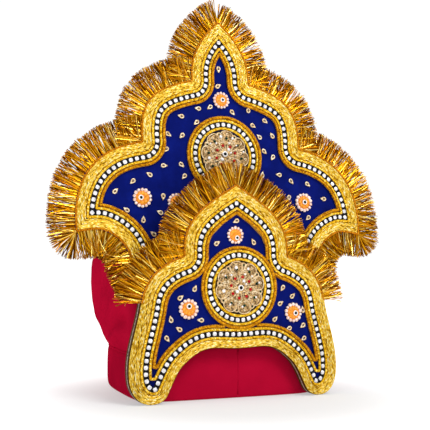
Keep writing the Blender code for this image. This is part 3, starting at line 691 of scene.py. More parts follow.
for side, board in (("front", front), ("back", back)):
    closed = board is front
    stretches = None if closed else BACK_RUN
    bundle = strands_to_mesh(f"{side}_braid_bundle", braid_lines(board, stretches, closed), STRAND_THICK,
                             closed, pale_zari)
    piece = join(f"{side}_braid_threads", [bundle, *painted_shade_under(board, stretches, closed)])
    finish_piece(piece, "pale_gold_braid", f"{side}_braid")

# %% [markdown]
# ## The sewing cord at the edge
# A thin, dark twisted cord hides the stitches that hold the fringe. It is two strands, wound tightly.

# %% Edge cords
EDGE = {"strands": 2, "pitch": 3.6 * MM, "radius": 0.38 * MM, "thick": 0.46 * MM, "lift": 1.3 * MM}
FRONT_FRINGED = range(FRINGE_ENDS)

for side, board, stretches in (("front", front, FRONT_FRINGED), ("back", back, BACK_RUN)):
    points, length = line_on(board, 1.0 * MM, stretches=stretches)
    piece = cord(f"{side}_edge_cord_wound", board, points, length, False, EDGE, dark_zari)
    finish_piece(piece, "brown_gold_cord", f"{side}_edge_cord")

# %% [markdown]
# ## Copies of a small part
# Stones, cups, beads and flowers repeat dozens of times. Each is modelled once, flat on the table with
# its face up, from a primitive. Its mesh is then copied to every place on the board, turned, and laid
# on the bent face.

# %% Copying a small part over a board


def take_mesh(obj):
    """The mesh of a finished part as arrays, after which the part itself is removed."""
    mesh = obj.data
    corners = np.array([v.co for v in mesh.vertices])
    faces = [tuple(p.vertices) for p in mesh.polygons]
    slots = [p.material_index for p in mesh.polygons]
    smooth = [p.use_smooth for p in mesh.polygons]
    mats = list(mesh.materials)
    bpy.data.objects.remove(obj, do_unlink=True)
    return {"corners": corners, "faces": faces, "slots": slots, "smooth": smooth, "mats": mats}


def scatter(name, part, board, places):
    """Copies of a part at (x, z, turn, size, lift) on the board, as one mesh."""
    corners, faces, slots, smooth = [], [], [], []
    for x, z, turn, size, lift in places:
        start = sum(len(c) for c in corners)
        flat = part["corners"] * size
        across = x + flat[:, 0] * math.cos(turn) - flat[:, 1] * math.sin(turn)
        up = z + flat[:, 0] * math.sin(turn) + flat[:, 1] * math.cos(turn)
        corners.append(board.lay(across, up, lift + flat[:, 2]))
        faces += [tuple(start + v for v in face) for face in part["faces"]]
        slots += part["slots"]
        smooth += part["smooth"]
    mesh = bpy.data.meshes.new(name)
    mesh.from_pydata(np.concatenate(corners).tolist(), [], faces)
    for mat in part["mats"]:
        mesh.materials.append(mat)
    mesh.polygons.foreach_set("material_index", slots)
    mesh.polygons.foreach_set("use_smooth", smooth)
    obj = new_object(name, mesh)
    return obj


# %% [markdown]
# ## Stones in their cups
# A stone starts as a four-sided cone with its top cut off. Bevelling all its edges cuts its corners and
# makes the small facets that glitter. The cup is a low dark box round it, and a black tape joins the
# cups to a chain.

# %% One stone and one cup
STONE_RADIUS = 2.02 * MM


def edit(obj, mode="FACE"):
    select_only(obj)
    bpy.ops.object.mode_set(mode="EDIT")
    bpy.ops.mesh.select_mode(type=mode)


def cut_stone(mat):
    """A cushion cut seen from above: a square with cut corners, its crown facets and table."""
    bpy.ops.mesh.primitive_cone_add(vertices=4, radius1=1.36 * STONE_RADIUS, radius2=0.74 * STONE_RADIUS,
                                    depth=0.9 * MM, location=(0, 0, 0.85 * MM),
                                    rotation=(0, 0, math.pi / 4))
    stone = bpy.context.object
    settle()
    edit(stone, "EDGE")
    bpy.ops.mesh.select_all(action="SELECT")
    bpy.ops.mesh.bevel(offset=0.62 * MM, segments=1)
    bpy.ops.object.mode_set(mode="OBJECT")
    set_material(stone, mat)
    return stone


def stone_cup(mat):
    """A square-cornered blackened cup with a sunk floor."""
    bpy.ops.mesh.primitive_cylinder_add(vertices=8, radius=2.2 * MM, depth=0.9 * MM,
                                        location=(0, 0, 0.45 * MM), rotation=(0, 0, math.pi / 8))
    cup = bpy.context.object
    settle()
    edit(cup)
    bpy.ops.mesh.select_all(action="DESELECT")
    top = bmesh.from_edit_mesh(cup.data)
    for face in top.faces:
        face.select = face.normal.z > 0.9
    bmesh.update_edit_mesh(cup.data)
    bpy.ops.mesh.inset(thickness=0.3 * MM)
    bpy.ops.transform.translate(value=(0, 0, -0.4 * MM))
    bpy.ops.object.mode_set(mode="OBJECT")
    set_material(cup, mat)
    return cup


# %% Chains of stones
STONE_PITCH = 4.94 * MM
MEDAL_STONES = 33
CORNER_TURN = math.radians(38)
TAPE_SECTION = [(-1.7 * MM, 0.05 * MM), (1.7 * MM, 0.05 * MM), (1.7 * MM, 0.9 * MM), (-1.7 * MM, 0.9 * MM)]
stone_part = take_mesh(join("stone", [cut_stone(foiled_glass), stone_cup(black_cup)]))


def stone_places(fine, closed):
    """Even places along a fine line, with a stone at each sharp corner and at the apex."""
    reach = 4
    ahead = np.roll(fine, -reach, axis=0) - fine
    behind = fine - np.roll(fine, reach, axis=0)
    turn = np.arctan2(ahead[:, 1], ahead[:, 0]) - np.arctan2(behind[:, 1], behind[:, 0])
    turn = np.abs((turn + math.pi) % (2 * math.pi) - math.pi)
    corners = [int(np.argmax(fine[:, 1]))]
    for i in np.argsort(-turn):
        near = min((abs(i - c) for c in corners), default=99)
        if turn[i] > CORNER_TURN and near > 12 and (closed or 12 < i < len(fine) - 12):
            corners.append(int(i))
    corners.sort()
    if closed:
        runs = [np.take(fine, range(a, b + 1), axis=0, mode="wrap")
                for a, b in zip(corners, corners[1:] + [corners[0] + len(fine)])]
    else:
        ends = [0, *corners, len(fine) - 1]
        runs = [fine[a:b + 1] for a, b in zip(ends, ends[1:])]
    places = [even(run, STONE_PITCH, False)[0][:-1] for run in runs]
    if not closed:
        places.append(fine[-1:])
    return np.concatenate(places)


def chain(name, board, points, closed, fine):
    """Stones at even places on a line, joined to the black tape that carries them."""
    side = sideways(points, closed)
    turns = np.arctan2(side[:, 1], side[:, 0])
    places = [(x, z, turn, 1.0, 0.35 * MM) for (x, z), turn in zip(points, turns)]
    stones = scatter(name, stone_part, board, places)
    tape = strip("tape", board, fine, closed, TAPE_SECTION, black_cup)
    return join(name, [stones, tape])


for side, board, medal in (("front", front, FRONT_MEDAL), ("back", back, BACK_MEDAL)):
    closed = board is front
    stretches = None if closed else BACK_RUN
    fine, _ = line_on(board, CHAIN_INSET, FINE_STEP, stretches, closed)
    points = stone_places(fine, closed)
    fine, length = line_on(board, CHAIN_INSET, MM, stretches, closed)
    piece = chain(f"{side}_stones", board, points, closed, fine)
    finish_piece(piece, "white_stones", f"{side}_stone_chain")
    print(f"{side} chain: {len(points)} stones on {length / MM:.0f} mm")
    radius = MEDAL_CHAIN[side]
    points = circle(medal, radius, 2 * math.pi * radius / MEDAL_STONES)
    piece = chain(f"{side}_medal_stones", board, points, True, circle(medal, radius, MM))
    finish_piece(piece, "white_stones", f"{side}_medal_stone_chain")

# %% [markdown]
# ## Boards
# The body of each board is its outline filled, cut in narrow upright columns so that it can follow the
# bend, and given its thickness. The rim is rounded by a bevel, as velvet pulled over card is.

# %% Velvet-covered boards
COLUMN = 6 * MM


def board_body(name, board, inset):
    """The outline as a flat plate, columns cut into it, then bent and bevelled."""
    moved, good = board.moved(inset)
    line, _ = even(moved[good], 1.6 * MM, True)
    mesh = bpy.data.meshes.new(name)
    mesh.from_pydata([(x, 0.0, z) for x, z in line], [], [list(range(len(line)))])
    obj = new_object(name, mesh)
    edit(obj)
    for column in range(-int(board.half_width / COLUMN), int(board.half_width / COLUMN) + 1):
        bpy.ops.mesh.select_all(action="SELECT")
        bpy.ops.mesh.bisect(plane_co=(column * COLUMN, 0, 0), plane_no=(1, 0, 0))
    bpy.ops.mesh.select_all(action="SELECT")
    bpy.ops.mesh.extrude_region_move(TRANSFORM_OT_translate={"value": (0, board.thickness, 0)})
    bpy.ops.mesh.select_all(action="SELECT")
    bpy.ops.mesh.normals_make_consistent(inside=False)
    bpy.ops.object.mode_set(mode="OBJECT")
    rim = obj.modifiers.new("rounded rim", "BEVEL")
    rim.width = 1.0 * MM
    rim.segments = 3
    rim.limit_method = "ANGLE"
    rim.angle_limit = math.radians(60)
    bpy.ops.object.modifier_apply(modifier=rim.name)
    corners = np.array([v.co for v in obj.data.vertices])
    bent = board.lay(corners[:, 0], corners[:, 2], -corners[:, 1])
    obj.data.vertices.foreach_set("co", bent.ravel())
    bpy.ops.object.shade_smooth_by_angle(angle=math.radians(40))
    set_material(obj, pile_cloth)
    return obj


bare_inset = np.where(front.stretch >= FRINGE_ENDS, 0.7 * MM, 0.0)
finish_piece(board_body("front_board_velvet", front, bare_inset), "blue_velvet", "front_board")
finish_piece(board_body("back_board_velvet", back, 0.0), "blue_velvet", "back_board")

# %% [markdown]
# Below the fringe, the front board's thick edge shows on the legs and under the arch. It is bound with
# a narrow ribbon, laid flat round the edge: a pale grey stripe between two dark ones, which are painted
# shade on the edge.

# %% Bound edge of the legs and arch
BARE_RUN = range(FRINGE_ENDS, 8)
# The dark stripes are painted shade on the edge; the grey one is the ribbon's own colour.
STRIPES = [(0.3, 2.4, shadow_tape), (2.4, 4.2, grey_tape), (4.2, 7.2, shadow_tape)]

moved, good = front.moved(0.55 * MM)
points, _ = even(moved[good & np.isin(front.stretch, BARE_RUN)], 2 * MM, False)
stripes = []
for near, far, mat in STRIPES:
    section = [(-0.4 * MM, -far * MM), (0.4 * MM, -far * MM),
               (0.4 * MM, -near * MM), (-0.4 * MM, -near * MM)]
    stripes.append(strip("stripe", front, points, False, section, mat))
piece = join("front_bound_edge", stripes)
finish_piece(piece, "pale_gold_braid")

# %% [markdown]
# ## Fringe
# The fringe is hundreds of cut metal-strip threads, sewn by their heads under the edge cord. They stand
# at right angles to the outline, each at its own small angle, a little curved and cut raggedly, so the
# fringe opens to a V at a point and crowds together in a notch. Strands are flat prisms of three
# lengths, with the tone of each kept as an attribute for the material. The tone is random, and darker
# for strands that lie further back: painted shade.

# %% Strands of the fringe
FRINGE_REACH = 20.3 * MM
LEFT_CUT = 1.05
RIGHT_CUT = 0.95
HEAD_INSET = 1.2 * MM
FRINGE_FOOT = 82 * MM
FRINGE_SPACING = 0.15 * MM
STRAND_WIDTH = 0.62 * MM
STRAND_DEPTH = 0.20 * MM
STRAND_JOINTS = 4
TUFT = 3.2 * MM


def strand_rings(root, angle, curl, reach, layer, rise, width, roll):
    """Corners of a strand's cross-sections, from its head to its tip."""
    rings = []
    for joint in range(STRAND_JOINTS):
        share = joint / (STRAND_JOINTS - 1)
        bend = angle + curl * share
        along = np.array([math.cos(bend), math.sin(bend)])
        across = np.array([-along[1], along[0]])
        middle = root + reach * share * along
        lift = layer + rise * share * share
        turn = roll * (0.4 + share)
        half = 0.5 * width * (1.0 - 0.25 * share)
        depth = 0.5 * STRAND_DEPTH
        ring = []
        for a, b in ((-half, -depth), (half, -depth), (half, depth), (-half, depth)):
            sideways_by = a * math.cos(turn) - b * math.sin(turn)
            lift_by = a * math.sin(turn) + b * math.cos(turn)
            ring.append((*(middle + sideways_by * across), lift + lift_by))
        rings.append(ring)
    return rings


def strand_faces(start):
    """Faces of the strand whose corners begin at start: its sides, then its two ends."""
    end = start + 4 * (STRAND_JOINTS - 1)
    faces = []
    for here in range(start + 4, end + 1, 4):
        for k in range(4):
            m = (k + 1) % 4
            faces.append((here - 4 + k, here - 4 + m, here + m, here + k))
    return faces + [(start, start + 3, start + 2, start + 1), (end, end + 1, end + 2, end + 3)]


def fringe(name, board, stretches, mirror):
    """One side's strands, as one mesh; the left side was cut a little longer than the right."""
    foot = FRINGE_FOOT if board is back else 0
    sewn = np.isin(board.stretch[:board.half], stretches) & (board.place[:board.half, 1] > foot)
    rows = np.flatnonzero(sewn)
    long = FRINGE_REACH * (LEFT_CUT if mirror else RIGHT_CUT)
    roots = board.place[rows]
    tips = roots - 12 * MM * board.inward[rows]
    steps = np.maximum(np.linalg.norm(np.diff(roots, axis=0), axis=1),
                       0.8 * np.linalg.norm(np.diff(tips, axis=0), axis=1))
    run = np.concatenate([[0], np.cumsum(steps)])
    heads = np.arange(run[0], run[-1], FRINGE_SPACING)
    tufts = np.stack([rng.normal(0, 4.0, 300), rng.uniform(0, 0.07, 300)], 1)
    corners, faces, tones = [], [], []
    for head in heads + rng.uniform(-0.4, 0.4, len(heads)) * FRINGE_SPACING:
        i = rows[min(np.searchsorted(run, head), len(rows) - 1)]
        root = board.place[i] + HEAD_INSET * board.inward[i]
        lean, short = tufts[int(head / TUFT) % len(tufts)]
        angle = math.atan2(-board.inward[i][1], -board.inward[i][0]) + math.radians(lean + rng.normal(0, 6))
        near_apex = math.exp(-head / (8 * MM))
        angle += (math.pi / 2 - angle) * 0.62 * near_apex
        curl = rng.normal(0, 0.12)
        reach = long * (1 - abs(rng.normal(0, 0.05)) - short - 0.12 * near_apex) + HEAD_INSET
        layer = rng.uniform(-1.8, 0.7) * MM
        rise = rng.normal(0.2, 1.2) * MM
        width = STRAND_WIDTH * rng.uniform(0.7, 1.15)
        roll = rng.uniform(-0.9, 0.9)
        # Painted shade: strands further back get a darker tone; the rest of the spread is random.
        tone = np.clip(0.5 + 0.18 * layer / MM + rng.normal(0, 0.27), 0, 1)
        faces += strand_faces(4 * len(corners))
        corners += strand_rings(root, angle, curl, reach, layer, rise, width, roll)
        tones += [tone] * (4 * STRAND_JOINTS)
    flat = np.array(corners).reshape(-1, 3)
    if mirror:
        flat[:, 0] *= -1
        faces = [tuple(reversed(face)) for face in faces]
    mesh = bpy.data.meshes.new(name)
    mesh.from_pydata(board.lay(flat[:, 0], flat[:, 1], flat[:, 2]).tolist(), [], faces)
    mesh.attributes.new("tone", "FLOAT", "POINT").data.foreach_set("value", np.array(tones, np.float32))
    obj = new_object(name, mesh)
    turn_faces_outwards(obj)
    set_material(obj, strand_zari)
    return obj


for side, board, stretches in (("front", front, FRONT_FRINGED), ("back", back, BACK_RUN)):
    for hand, mirror in (("right", False), ("left", True)):
        piece = fringe(f"{side}_fringe_{hand}_strands", board, stretches, mirror)
        finish_piece(piece, "gold_fringe", f"{side}_fringe_{hand}")

# %% [markdown]
# ## Flowers
# Each flower is a flat moulded piece: orange petals, a rim of small shell-pink beads, and a white bead
# with a black eye. The eyes were sewn on by hand, so each is a little off the middle in its own way.

# %% One flower
FLOWER_RADIUS = 7.4 * MM
RIM_BEADS = 14


def dome(radius, height, place, mat, sides=10):
    """A squashed sphere, for petals and beads."""
    bpy.ops.mesh.primitive_uv_sphere_add(segments=sides, ring_count=max(5, sides // 2), radius=radius,
                                         location=place)
    bead = bpy.context.object
    bead.scale = (1, 1, height / radius)
    settle()
    bpy.ops.object.shade_smooth()
    set_material(bead, mat)
    return bead


def ring(radius, thick, lift, mat, sides=18):
    bpy.ops.mesh.primitive_torus_add(major_radius=radius, minor_radius=thick, major_segments=sides,
                                     minor_segments=6, location=(0, 0, lift))
    loop = bpy.context.object
    settle()
    bpy.ops.object.shade_smooth()
    set_material(loop, mat)
    return loop


def turned(obj, angle):
    """Turn a part about the middle and make its new place its own."""
    obj.rotation_euler = (0, 0, angle)
    select_only(obj)
    settle()
    return obj


def around(count, radius):
    """Places (x, y) evenly round a circle."""
    turns = 2 * math.pi * (np.arange(count) / count)
    return [(radius * math.sin(t), radius * math.cos(t)) for t in turns]


def flower(eye_x, eye_y):
    """One flower, its beads a little uneven, and the eye as far off the middle as it was sewn."""
    pieces = [dome(0.76 * FLOWER_RADIUS, 1.0 * MM, (0, 0, 0.6 * MM), orange_enamel, 16)]
    for x, y in around(8, 0.46 * FLOWER_RADIUS):
        pieces.append(dome(1.7 * MM, 0.9 * MM, (x, y, 1.2 * MM), orange_enamel))
    for x, y in around(RIM_BEADS, 0.84 * FLOWER_RADIUS):
        jitter = rng.uniform(0.85, 1.15)
        pieces.append(dome(1.42 * MM * jitter, 1.1 * MM, (x, y, 1.0 * MM), pink_pearl, 8))
    eye = ring(1.5 * MM, 0.55 * MM, 2.1 * MM, pearl)
    eye.location = (eye_x, eye_y, 0)
    pieces.append(turned(eye, 0))
    pieces.append(dome(1.25 * MM, 0.9 * MM, (eye_x, eye_y, 2.1 * MM), black_bead, 10))
    return join("flower", pieces)


FRONT_FLOWERS = {
    "top": (-1.5, 124.0, 0.92, 1.2, -2.2),
    "left": (-40.0, 68.9, 1.02, 0.0, 2.0),
    "right": (47.0, 64.5, 1.02, 1.5, -0.4),
}
BACK_FLOWERS = {
    "top": (-0.1, 231.8, 0.94, 1.0, 0.3),
    "left": (-68.3, 152.1, 1.03, -1.4, 0.2),
    "right": (69.1, 151.6, 1.03, 0.3, 0.2),
    "inner_left": (-41.2, 149.2, 0.95, 0.0, 0.0),
    "inner_right": (41.2, 148.7, 0.92, 0.0, 0.0),
}
for side, board, flowers in (("front", front, FRONT_FLOWERS), ("back", back, BACK_FLOWERS)):
    for name, (x, z, size, eye_x, eye_z) in flowers.items():
        part = take_mesh(flower(eye_x * MM, eye_z * MM))
        place = (x * MM, z * MM, 0.0, size, 0.1 * MM)
        piece = scatter(f"{side}_flower_{name}_enamel", part, board, [place])
        finish_piece(piece, "orange_flower", f"{side}_flower_{name}")

# %% [markdown]
# ## Leaf beads
# Small cream leaves, each a pointed ring round a smoked glass drop, are strewn over the velvet at
# loose, even distances. A torus is drawn out to a point at one end, and a flat dome fills it.

# %% Leaf beads
FRONT_LEAVES = [
    (0, 135, 115), (-17, 117.5, -60), (14, 118.5, 30), (-35, 83.5, -25), (-46.5, 77, -55),
    (-53.5, 61, 10), (-30, 60.5, 85), (-47, 54, 60), (-57, 48, -145), (38.5, 84, 145),
    (46.5, 77, -50), (35.5, 71.5, -60), (30.5, 59.5, -50), (56, 66, 10), (56, 54.5, 125),
    (43.5, 52.5, 105), (56.5, 44.5, 120),
]
BACK_LEAVES = [
    (-1, 257.5, 180), (-2.5, 243, -60), (-19.5, 224, 85), (-9.5, 226, 125), (9, 223, -140),
    (23.5, 225, -5), (-34, 217, 80), (-21.5, 213, 130), (37.5, 217.5, -125), (26.5, 213, -120),
    (-46, 202.5, -125), (-34, 202, 135), (32.5, 203.5, 50), (44, 205, 35), (-47.5, 190.5, 140),
    (35.5, 192.5, -135), (43.5, 188, 145), (-50.5, 177.5, -90), (-36, 179, -135), (-33.5, 170, 140),
    (-61.5, 170, 60), (-75, 165, 135), (-89.5, 156.5, -45), (-51.5, 154, 175), (-80.5, 142.5, 55),
    (-68, 135, -5), (-54, 141, 65), (-60, 124.5, 55), (48.5, 173.5, 85), (58.5, 169, -140),
    (73.5, 167, -130), (88.5, 155, 85), (56, 155.5, 170), (73, 139.5, 130), (33, 172.5, -10),
]


def leaf():
    """A ring drawn out to a point, round a dark drop."""
    bpy.ops.mesh.primitive_torus_add(major_radius=1.25 * MM, minor_radius=0.5 * MM, major_segments=16,
                                     minor_segments=6, location=(0, 0, 0.55 * MM))
    rim = bpy.context.object
    settle()
    edit(rim, "VERT")
    shape = bmesh.from_edit_mesh(rim.data)
    for vert in shape.verts:
        share = max(0.0, vert.co.y / (1.75 * MM))
        vert.co.x *= 1 - 0.55 * share**1.5
        vert.co.y *= 1.15 + 0.75 * share
    bmesh.update_edit_mesh(rim.data)
    bpy.ops.object.mode_set(mode="OBJECT")
    bpy.ops.object.shade_smooth()
    set_material(rim, cream_bead)
    drop = dome(1.0 * MM, 0.5 * MM, (0, 0.2 * MM, 0.4 * MM), amber_glass, 8)
    return join("leaf", [rim, drop])


leaf_part = take_mesh(leaf())
for side, board, leaves in (("front", front, FRONT_LEAVES), ("back", back, BACK_LEAVES)):
    places = [(x * MM, z * MM, math.radians(turn), 1.05, 0.05 * MM) for x, z, turn in leaves]
    piece = scatter(f"{side}_leaf_beads", leaf_part, board, places)
    finish_piece(piece, "beige_gold_filigree")

# %% [markdown]
# ## Rosettes
# Each medal's rosette is a gilt casting: eight outer petals round eight smaller ones, drawn with wire
# scrolls, with green stones in the outer petals and red ones in the inner. Grains, pearls and a white
# bead with a black eye were set over it by hand. One pair of petals is modelled and copied round.

# %% Petals of the rosette
ROSETTE_RADIUS = 20.0 * MM
SCROLL_LIFT = 2.2 * MM


def tear(y, length, width, lift, count=18):
    """A tear-shaped closed line that starts at height y, its point towards the rosette's middle."""
    line = []
    for t in 2 * math.pi * np.arange(count) / count:
        reach = 0.5 * length * (1 - math.cos(t))
        across = 0.62 * width * math.sin(t) * (0.35 + 0.65 * reach / length)
        line.append((across, y + reach, lift))
    return np.array(line)


def wire(line, thick, mat):
    return strands_to_mesh("wire", [line], thick, True, mat)


def scroll(x, y, radius, mat):
    loop = ring(radius * MM, 0.32 * MM, SCROLL_LIFT, mat, 9)
    loop.location = (x * MM, y * MM, 0)
    return turned(loop, 0)


def outer_petal():
    """Gilt lobe with a doubled wire outline, scrolls and a dark green stone."""
    pieces = [dome(6.9 * MM, 0.9 * MM, (0, 13.4 * MM, 0.9 * MM), gilt_filigree, 14)]
    pieces.append(wire(tear(7.2 * MM, 12.8 * MM, 11.6 * MM, 1.9 * MM, 26), 0.36 * MM, cream_bead))
    pieces.append(wire(tear(8.8 * MM, 9.6 * MM, 8.4 * MM, 2.2 * MM, 22), 0.30 * MM, gilt_filigree))
    for x, y, radius in ((-3.2, 16.6, 0.9), (3.3, 16.3, 1.0), (0.2, 17.2, 0.8), (-3.6, 12.8, 0.8),
                         (3.5, 12.4, 0.7), (-1.8, 11.0, 0.6), (1.9, 10.6, 0.6)):
        pieces.append(scroll(x, y, radius, cream_bead if radius < 0.85 else gilt_filigree))
    pieces.append(dome(1.15 * MM, 1.0 * MM, (0, 14.0 * MM, 2.3 * MM), green_glass, 8))
    return pieces


def inner_petal():
    """Small gilt leaf with a red stone, turned to lie between two outer petals."""
    pieces = [dome(2.6 * MM, 1.0 * MM, (0, 7.9 * MM, 2.0 * MM), gilt_filigree, 10)]
    pieces.append(wire(tear(3.6 * MM, 7.4 * MM, 5.2 * MM, 2.7 * MM), 0.28 * MM, cream_bead))
    pieces.append(dome(1.3 * MM, 1.1 * MM, (0, 8.1 * MM, 2.9 * MM), ruby_glass, 8))
    pieces.append(dome(2.9 * MM, 0.9 * MM, (0, 16.6 * MM, 0.9 * MM), gilt_filigree, 10))
    pieces.append(wire(tear(13.2 * MM, 5.4 * MM, 4.4 * MM, 1.7 * MM), 0.3 * MM, cream_bead))
    pieces.append(dome(0.8 * MM, 0.8 * MM, (0, 17.2 * MM, 1.9 * MM), green_glass, 6))
    return [turned(piece, math.pi / 8) for piece in pieces]


petals = take_mesh(join("petals", outer_petal() + inner_petal()))

# %% Middle of the rosette, and both rosettes
PEARLS = [(-3.5, 15.0, 1.4), (-7.5, 9.5, 0.9), (2.7, 5.0, 1.4), (-3.0, -3.0, 1.5), (-14.0, -2.5, 1.5),
          (6.5, 14.0, 1.2), (3.5, 10.0, 0.9), (12.5, -7.5, 1.0), (4.5, 2.5, 0.9), (15.5, 3.5, 0.9),
          (-12.5, 9.0, 0.8), (9.5, 8.5, 0.8), (-9.0, -12.5, 0.9), (1.0, -14.5, 0.9)]
FRONT_EYE = (-0.1, -0.2)
BACK_EYE = (-0.7, 1.2)


def backing_plate():
    bpy.ops.mesh.primitive_cylinder_add(vertices=48, radius=ROSETTE_RADIUS, depth=0.8 * MM,
                                        location=(0, 0, 0.5 * MM))
    plate = bpy.context.object
    settle()
    edit(plate, "EDGE")
    bpy.ops.mesh.select_all(action="SELECT")
    bpy.ops.mesh.bevel(offset=0.2 * MM, segments=2)
    bpy.ops.object.mode_set(mode="OBJECT")
    set_material(plate, black_cup)
    return plate


def rosette_middle(eye):
    """Backing plate, gilt boss, loose grains and pearls, and the eye at its own place."""
    pieces = [backing_plate(), dome(8.2 * MM, 2.0 * MM, (0, 0, 0.8 * MM), gilt_filigree, 24)]
    for _ in range(110):
        reach, turn = 19 * MM * math.sqrt(rng.uniform(0.04, 1.0)), rng.uniform(0, 2 * math.pi)
        lift = 2.5 * MM - 0.05 * reach
        grain = (reach * math.sin(turn), reach * math.cos(turn), lift)
        mat = (cream_bead, gilt_filigree, cream_bead, amber_glass)[rng.integers(4)]
        pieces.append(dome(rng.uniform(0.35, 0.7) * MM, 0.5 * MM, grain, mat, 6))
    for x, y, radius in PEARLS:
        pieces.append(dome(radius * MM, 0.9 * MM, (x * MM, y * MM, 2.8 * MM), pearl, 8))
    x, y = eye[0] * MM, eye[1] * MM
    loop = ring(1.75 * MM, 0.6 * MM, 3.4 * MM, pearl, 16)
    loop.location = (x, y, 0)
    pieces.append(turned(loop, 0))
    pieces.append(dome(1.45 * MM, 1.0 * MM, (x, y, 3.5 * MM), black_bead, 10))
    return take_mesh(join("middle", pieces))


for side, board, medal, turn, eye in (("front", front, FRONT_MEDAL, 0.20, FRONT_EYE),
                                      ("back", back, BACK_MEDAL, -0.12, BACK_EYE)):
    places = [(*medal, turn + 2 * math.pi * k / 8, 1.0, 0.1 * MM) for k in range(8)]
    ring_of_petals = scatter("petals", petals, board, places)
    centre = scatter("middle", rosette_middle(eye), board, [(*medal, 0.0, 1.0, 0.05 * MM)])
    piece = join(f"{side}_medal_filigree", [ring_of_petals, centre])
    finish_piece(piece, "beige_gold_filigree", f"{side}_medal_rosette")

# %% [markdown]
# ## The cap
# The cap is cut from the same satin-weave cotton all over. The imported solids have its shape. Each is
# copied, its triangles are paired to squares and subdivided, and the crown's finer cloth then gets its
# soft folds: small gathers over the seam, and long slack folds that slant across the sides. They move
# both faces of the cloth together, so its thickness stays.

# %% Cap cloth with its wrinkles
CAP_MIDDLE = 75 * MM
CAP_RADIUS = 78 * MM
FOLD_RISE = 3.0 * MM
FOLD_BREADTH = 1.15
SLACK = [
    (-1.30, 0.112, -1.52, 0.082, 5.0, -1.6), (-1.47, 0.118, -1.62, 0.072, 4.0, 1.0),
    (-1.66, 0.116, -1.76, 0.060, 4.5, -1.2), (-1.20, 0.052, -1.52, 0.042, 4.0, 1.5),
    (-1.10, 0.060, -1.46, 0.050, 4.5, -1.3), (-1.05, 0.086, -1.36, 0.060, 7.0, 1.2),
    (-1.90, 0.105, -2.02, 0.058, 6.0, 1.0), (-2.25, 0.118, -2.32, 0.062, 6.0, -1.2),
    (-2.70, 0.120, -2.62, 0.060, 7.0, 1.2), (-3.05, 0.118, -3.00, 0.060, 6.0, -1.1),
]


def fold(places, turn, line):
    """Height of one long soft fold, given its ends as turn and height, its breadth and its rise."""
    turn_a, high, turn_b, low, breadth, rise = line
    breadth *= FOLD_BREADTH
    start = np.array([turn_a * CAP_RADIUS, high])
    along = np.array([turn_b * CAP_RADIUS, low]) - start
    here = np.stack([turn * CAP_RADIUS, places[:, 2]], 1) - start
    share = np.clip(here @ along / (along @ along), 0, 1)
    away = np.linalg.norm(here - share[:, None] * along, axis=1)
    return FOLD_RISE * rise * np.exp(-(away / (breadth * MM)) ** 2)


def wrinkles(places):
    """How far outwards the cloth stands at each place, in metres."""
    x, y, z = places.T
    turn = np.arctan2(x, CAP_MIDDLE - y)
    body = np.clip((z - 0.034) / 0.010, 0, 1) * np.clip((0.150 - z) / 0.03, 0, 1)
    gathers = np.sin(30 * turn + 3 * np.sin(5 * turn)) * np.exp(-((z - 0.038) / 0.010) ** 2)
    puff = 0.9 * np.exp(-((z - 0.042) / 0.009) ** 2)
    slack = sum(fold(places, turn, line) + fold(places, -turn, line) for line in SLACK)
    return body * ((0.25 * gathers + puff) * MM + slack)


def cloth_copy(node, name, levels):
    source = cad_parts[node]
    obj = new_object(name, source.data.copy())
    edit(obj)
    bpy.ops.mesh.select_all(action="SELECT")
    bpy.ops.mesh.remove_doubles(threshold=1e-6)
    bpy.ops.mesh.tris_convert_to_quads(face_threshold=math.radians(60), shape_threshold=math.radians(60))
    bpy.ops.object.mode_set(mode="OBJECT")
    finer = obj.modifiers.new("finer", "SUBSURF")
    finer.levels = levels
    finer.render_levels = levels
    bpy.ops.object.modifier_apply(modifier=finer.name)
    bpy.ops.object.shade_smooth()
    set_material(obj, cloth)
    return obj


crown_cloth = cloth_copy("cap_crown", "cap_crown_cloth", 2)
places = np.array([v.co for v in crown_cloth.data.vertices])
middle_line = np.stack([np.zeros(len(places)), np.full(len(places), CAP_MIDDLE), places[:, 2]], 1)
outwards = places - middle_line
outwards /= np.linalg.norm(outwards, axis=1)[:, None]
crown_cloth.data.vertices.foreach_set("co", (places + wrinkles(places)[:, None] * outwards).ravel())
finish_piece(crown_cloth, "crimson_cloth", "cap_crown")

band_cloth = cloth_copy("cap_band", "cap_band_cloth", 2)
finish_piece(band_cloth, "crimson_cloth", "cap_band")

# %% [markdown]
# Where crown and band meet, their turned-in edges form a small ridge. It is one thin tube along the
# band's upper rim, in the same cloth, and it keeps light from showing through the seam. The band's own
# ends meet in front, a little right of the middle, in a finer ridge.

# %% Seams of the cap
RIM_STEP = 5


def upper_rim(corners):
    """Points along the middle of the band's upper edge, one for every few degrees."""
    turns = np.degrees(np.arctan2(corners[:, 0], CAP_MIDDLE - corners[:, 1])) // RIM_STEP
    rim = []
    for turn in np.unique(turns):
        here = corners[turns == turn]
        rim.append(here[here[:, 2] > here[:, 2].max() - 0.8 * MM].mean(0))
    return np.array(rim)


FRONT_SEAM = 3.7 * MM
band_corners = np.array([v.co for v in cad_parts["cap_band"].data.vertices])
rim = upper_rim(band_corners)
rim[:, 2] += 0.15 * MM
crown_seam = strands_to_mesh("crown_seam", [rim], 1.35 * MM, True, cloth, 2)
heights = np.linspace(3, 37, 8) * MM
face = band_corners[:, 1].min() + 0.15 * MM
line = np.stack([np.full(8, FRONT_SEAM), np.full(8, face), heights], 1)
band_seam = strands_to_mesh("band_seam", [line], 0.45 * MM, False, cloth, 2)
finish_piece(join("cap_seams", [crown_seam, band_seam]), "crimson_cloth")

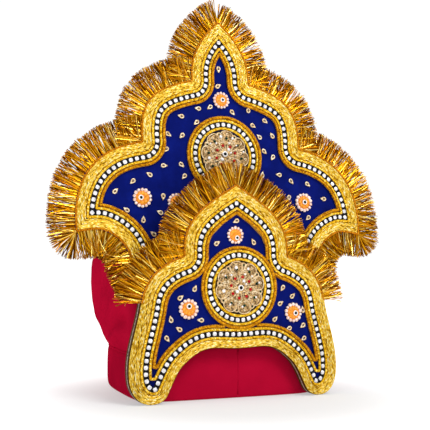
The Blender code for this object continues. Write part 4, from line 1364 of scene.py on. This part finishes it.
# %% [markdown]
# ## Floor and light
# The ground is a pale floor with a soft shadow close to the crown. It glows, which is painted light:
# less close to the crown, as painted shade round that shadow, and more with distance, so that it fades
# into the white behind it. The world is white to the camera and gives a dimmer, even light.
# A large soft light stands in front on the right, a weak one on the left and a third hangs above.

# %% Floor
bpy.ops.mesh.primitive_plane_add(size=6.0, location=(0, 0, -0.05 * MM))
floor = bpy.context.object
floor.name = "floor"
floor_finish, tree, shader = start_material("floor with painted glow", 0.9, Specular_IOR_Level=0.1)
shader.inputs["Base Color"].default_value = linear("#B8B8B8")
shader.inputs["Emission Color"].default_value = linear("#FFFFFF")
# Painted light: the floor glows, less near the crown as painted shade and more with distance.
away = add(tree, "ShaderNodeVectorMath", {0: object_place(tree)}, operation="LENGTH")
glow = add(tree, "ShaderNodeMapRange", {"Value": away.outputs["Value"], "From Min": 0.07, "From Max": 0.25,
                                        "To Min": 0.42, "To Max": 1.1}, interpolation_type="SMOOTHSTEP")
tree.links.new(glow.outputs["Result"], shader.inputs["Emission Strength"])
set_material(floor, floor_finish)

# %% Lights


def soft_light(name, place, aim, size, watts):
    direction = Vector(aim) - Vector(place)
    bpy.ops.object.light_add(type="AREA", location=place)
    lamp = bpy.context.object
    lamp.name = name
    lamp.rotation_euler = direction.to_track_quat("-Z", "Y").to_euler()
    lamp.data.size = size
    lamp.data.energy = watts


MIDDLE = (0.0, 0.0, 0.14)
soft_light("key", (0.45, -1.35, 1.5), MIDDLE, 0.8, 21)
soft_light("fill", (-1.2, -1.2, 0.7), MIDDLE, 0.9, 3.5)
soft_light("top", (0.1, -0.1, 1.8), MIDDLE, 1.2, 9)

world = bpy.data.worlds.new("studio")
bpy.context.scene.world = world
world.use_nodes = True
tree = world.node_tree
background = tree.nodes["Background"]
background.inputs["Color"].default_value = linear("#FFFFFF")
seen = add(tree, "ShaderNodeLightPath")
strength = add(tree, "ShaderNodeMapRange",
               {"Value": seen.outputs["Is Camera Ray"], "To Min": 0.36, "To Max": 1.05})
tree.links.new(strength.outputs["Result"], background.inputs["Strength"])
bpy.context.scene.view_settings.view_transform = "Standard"
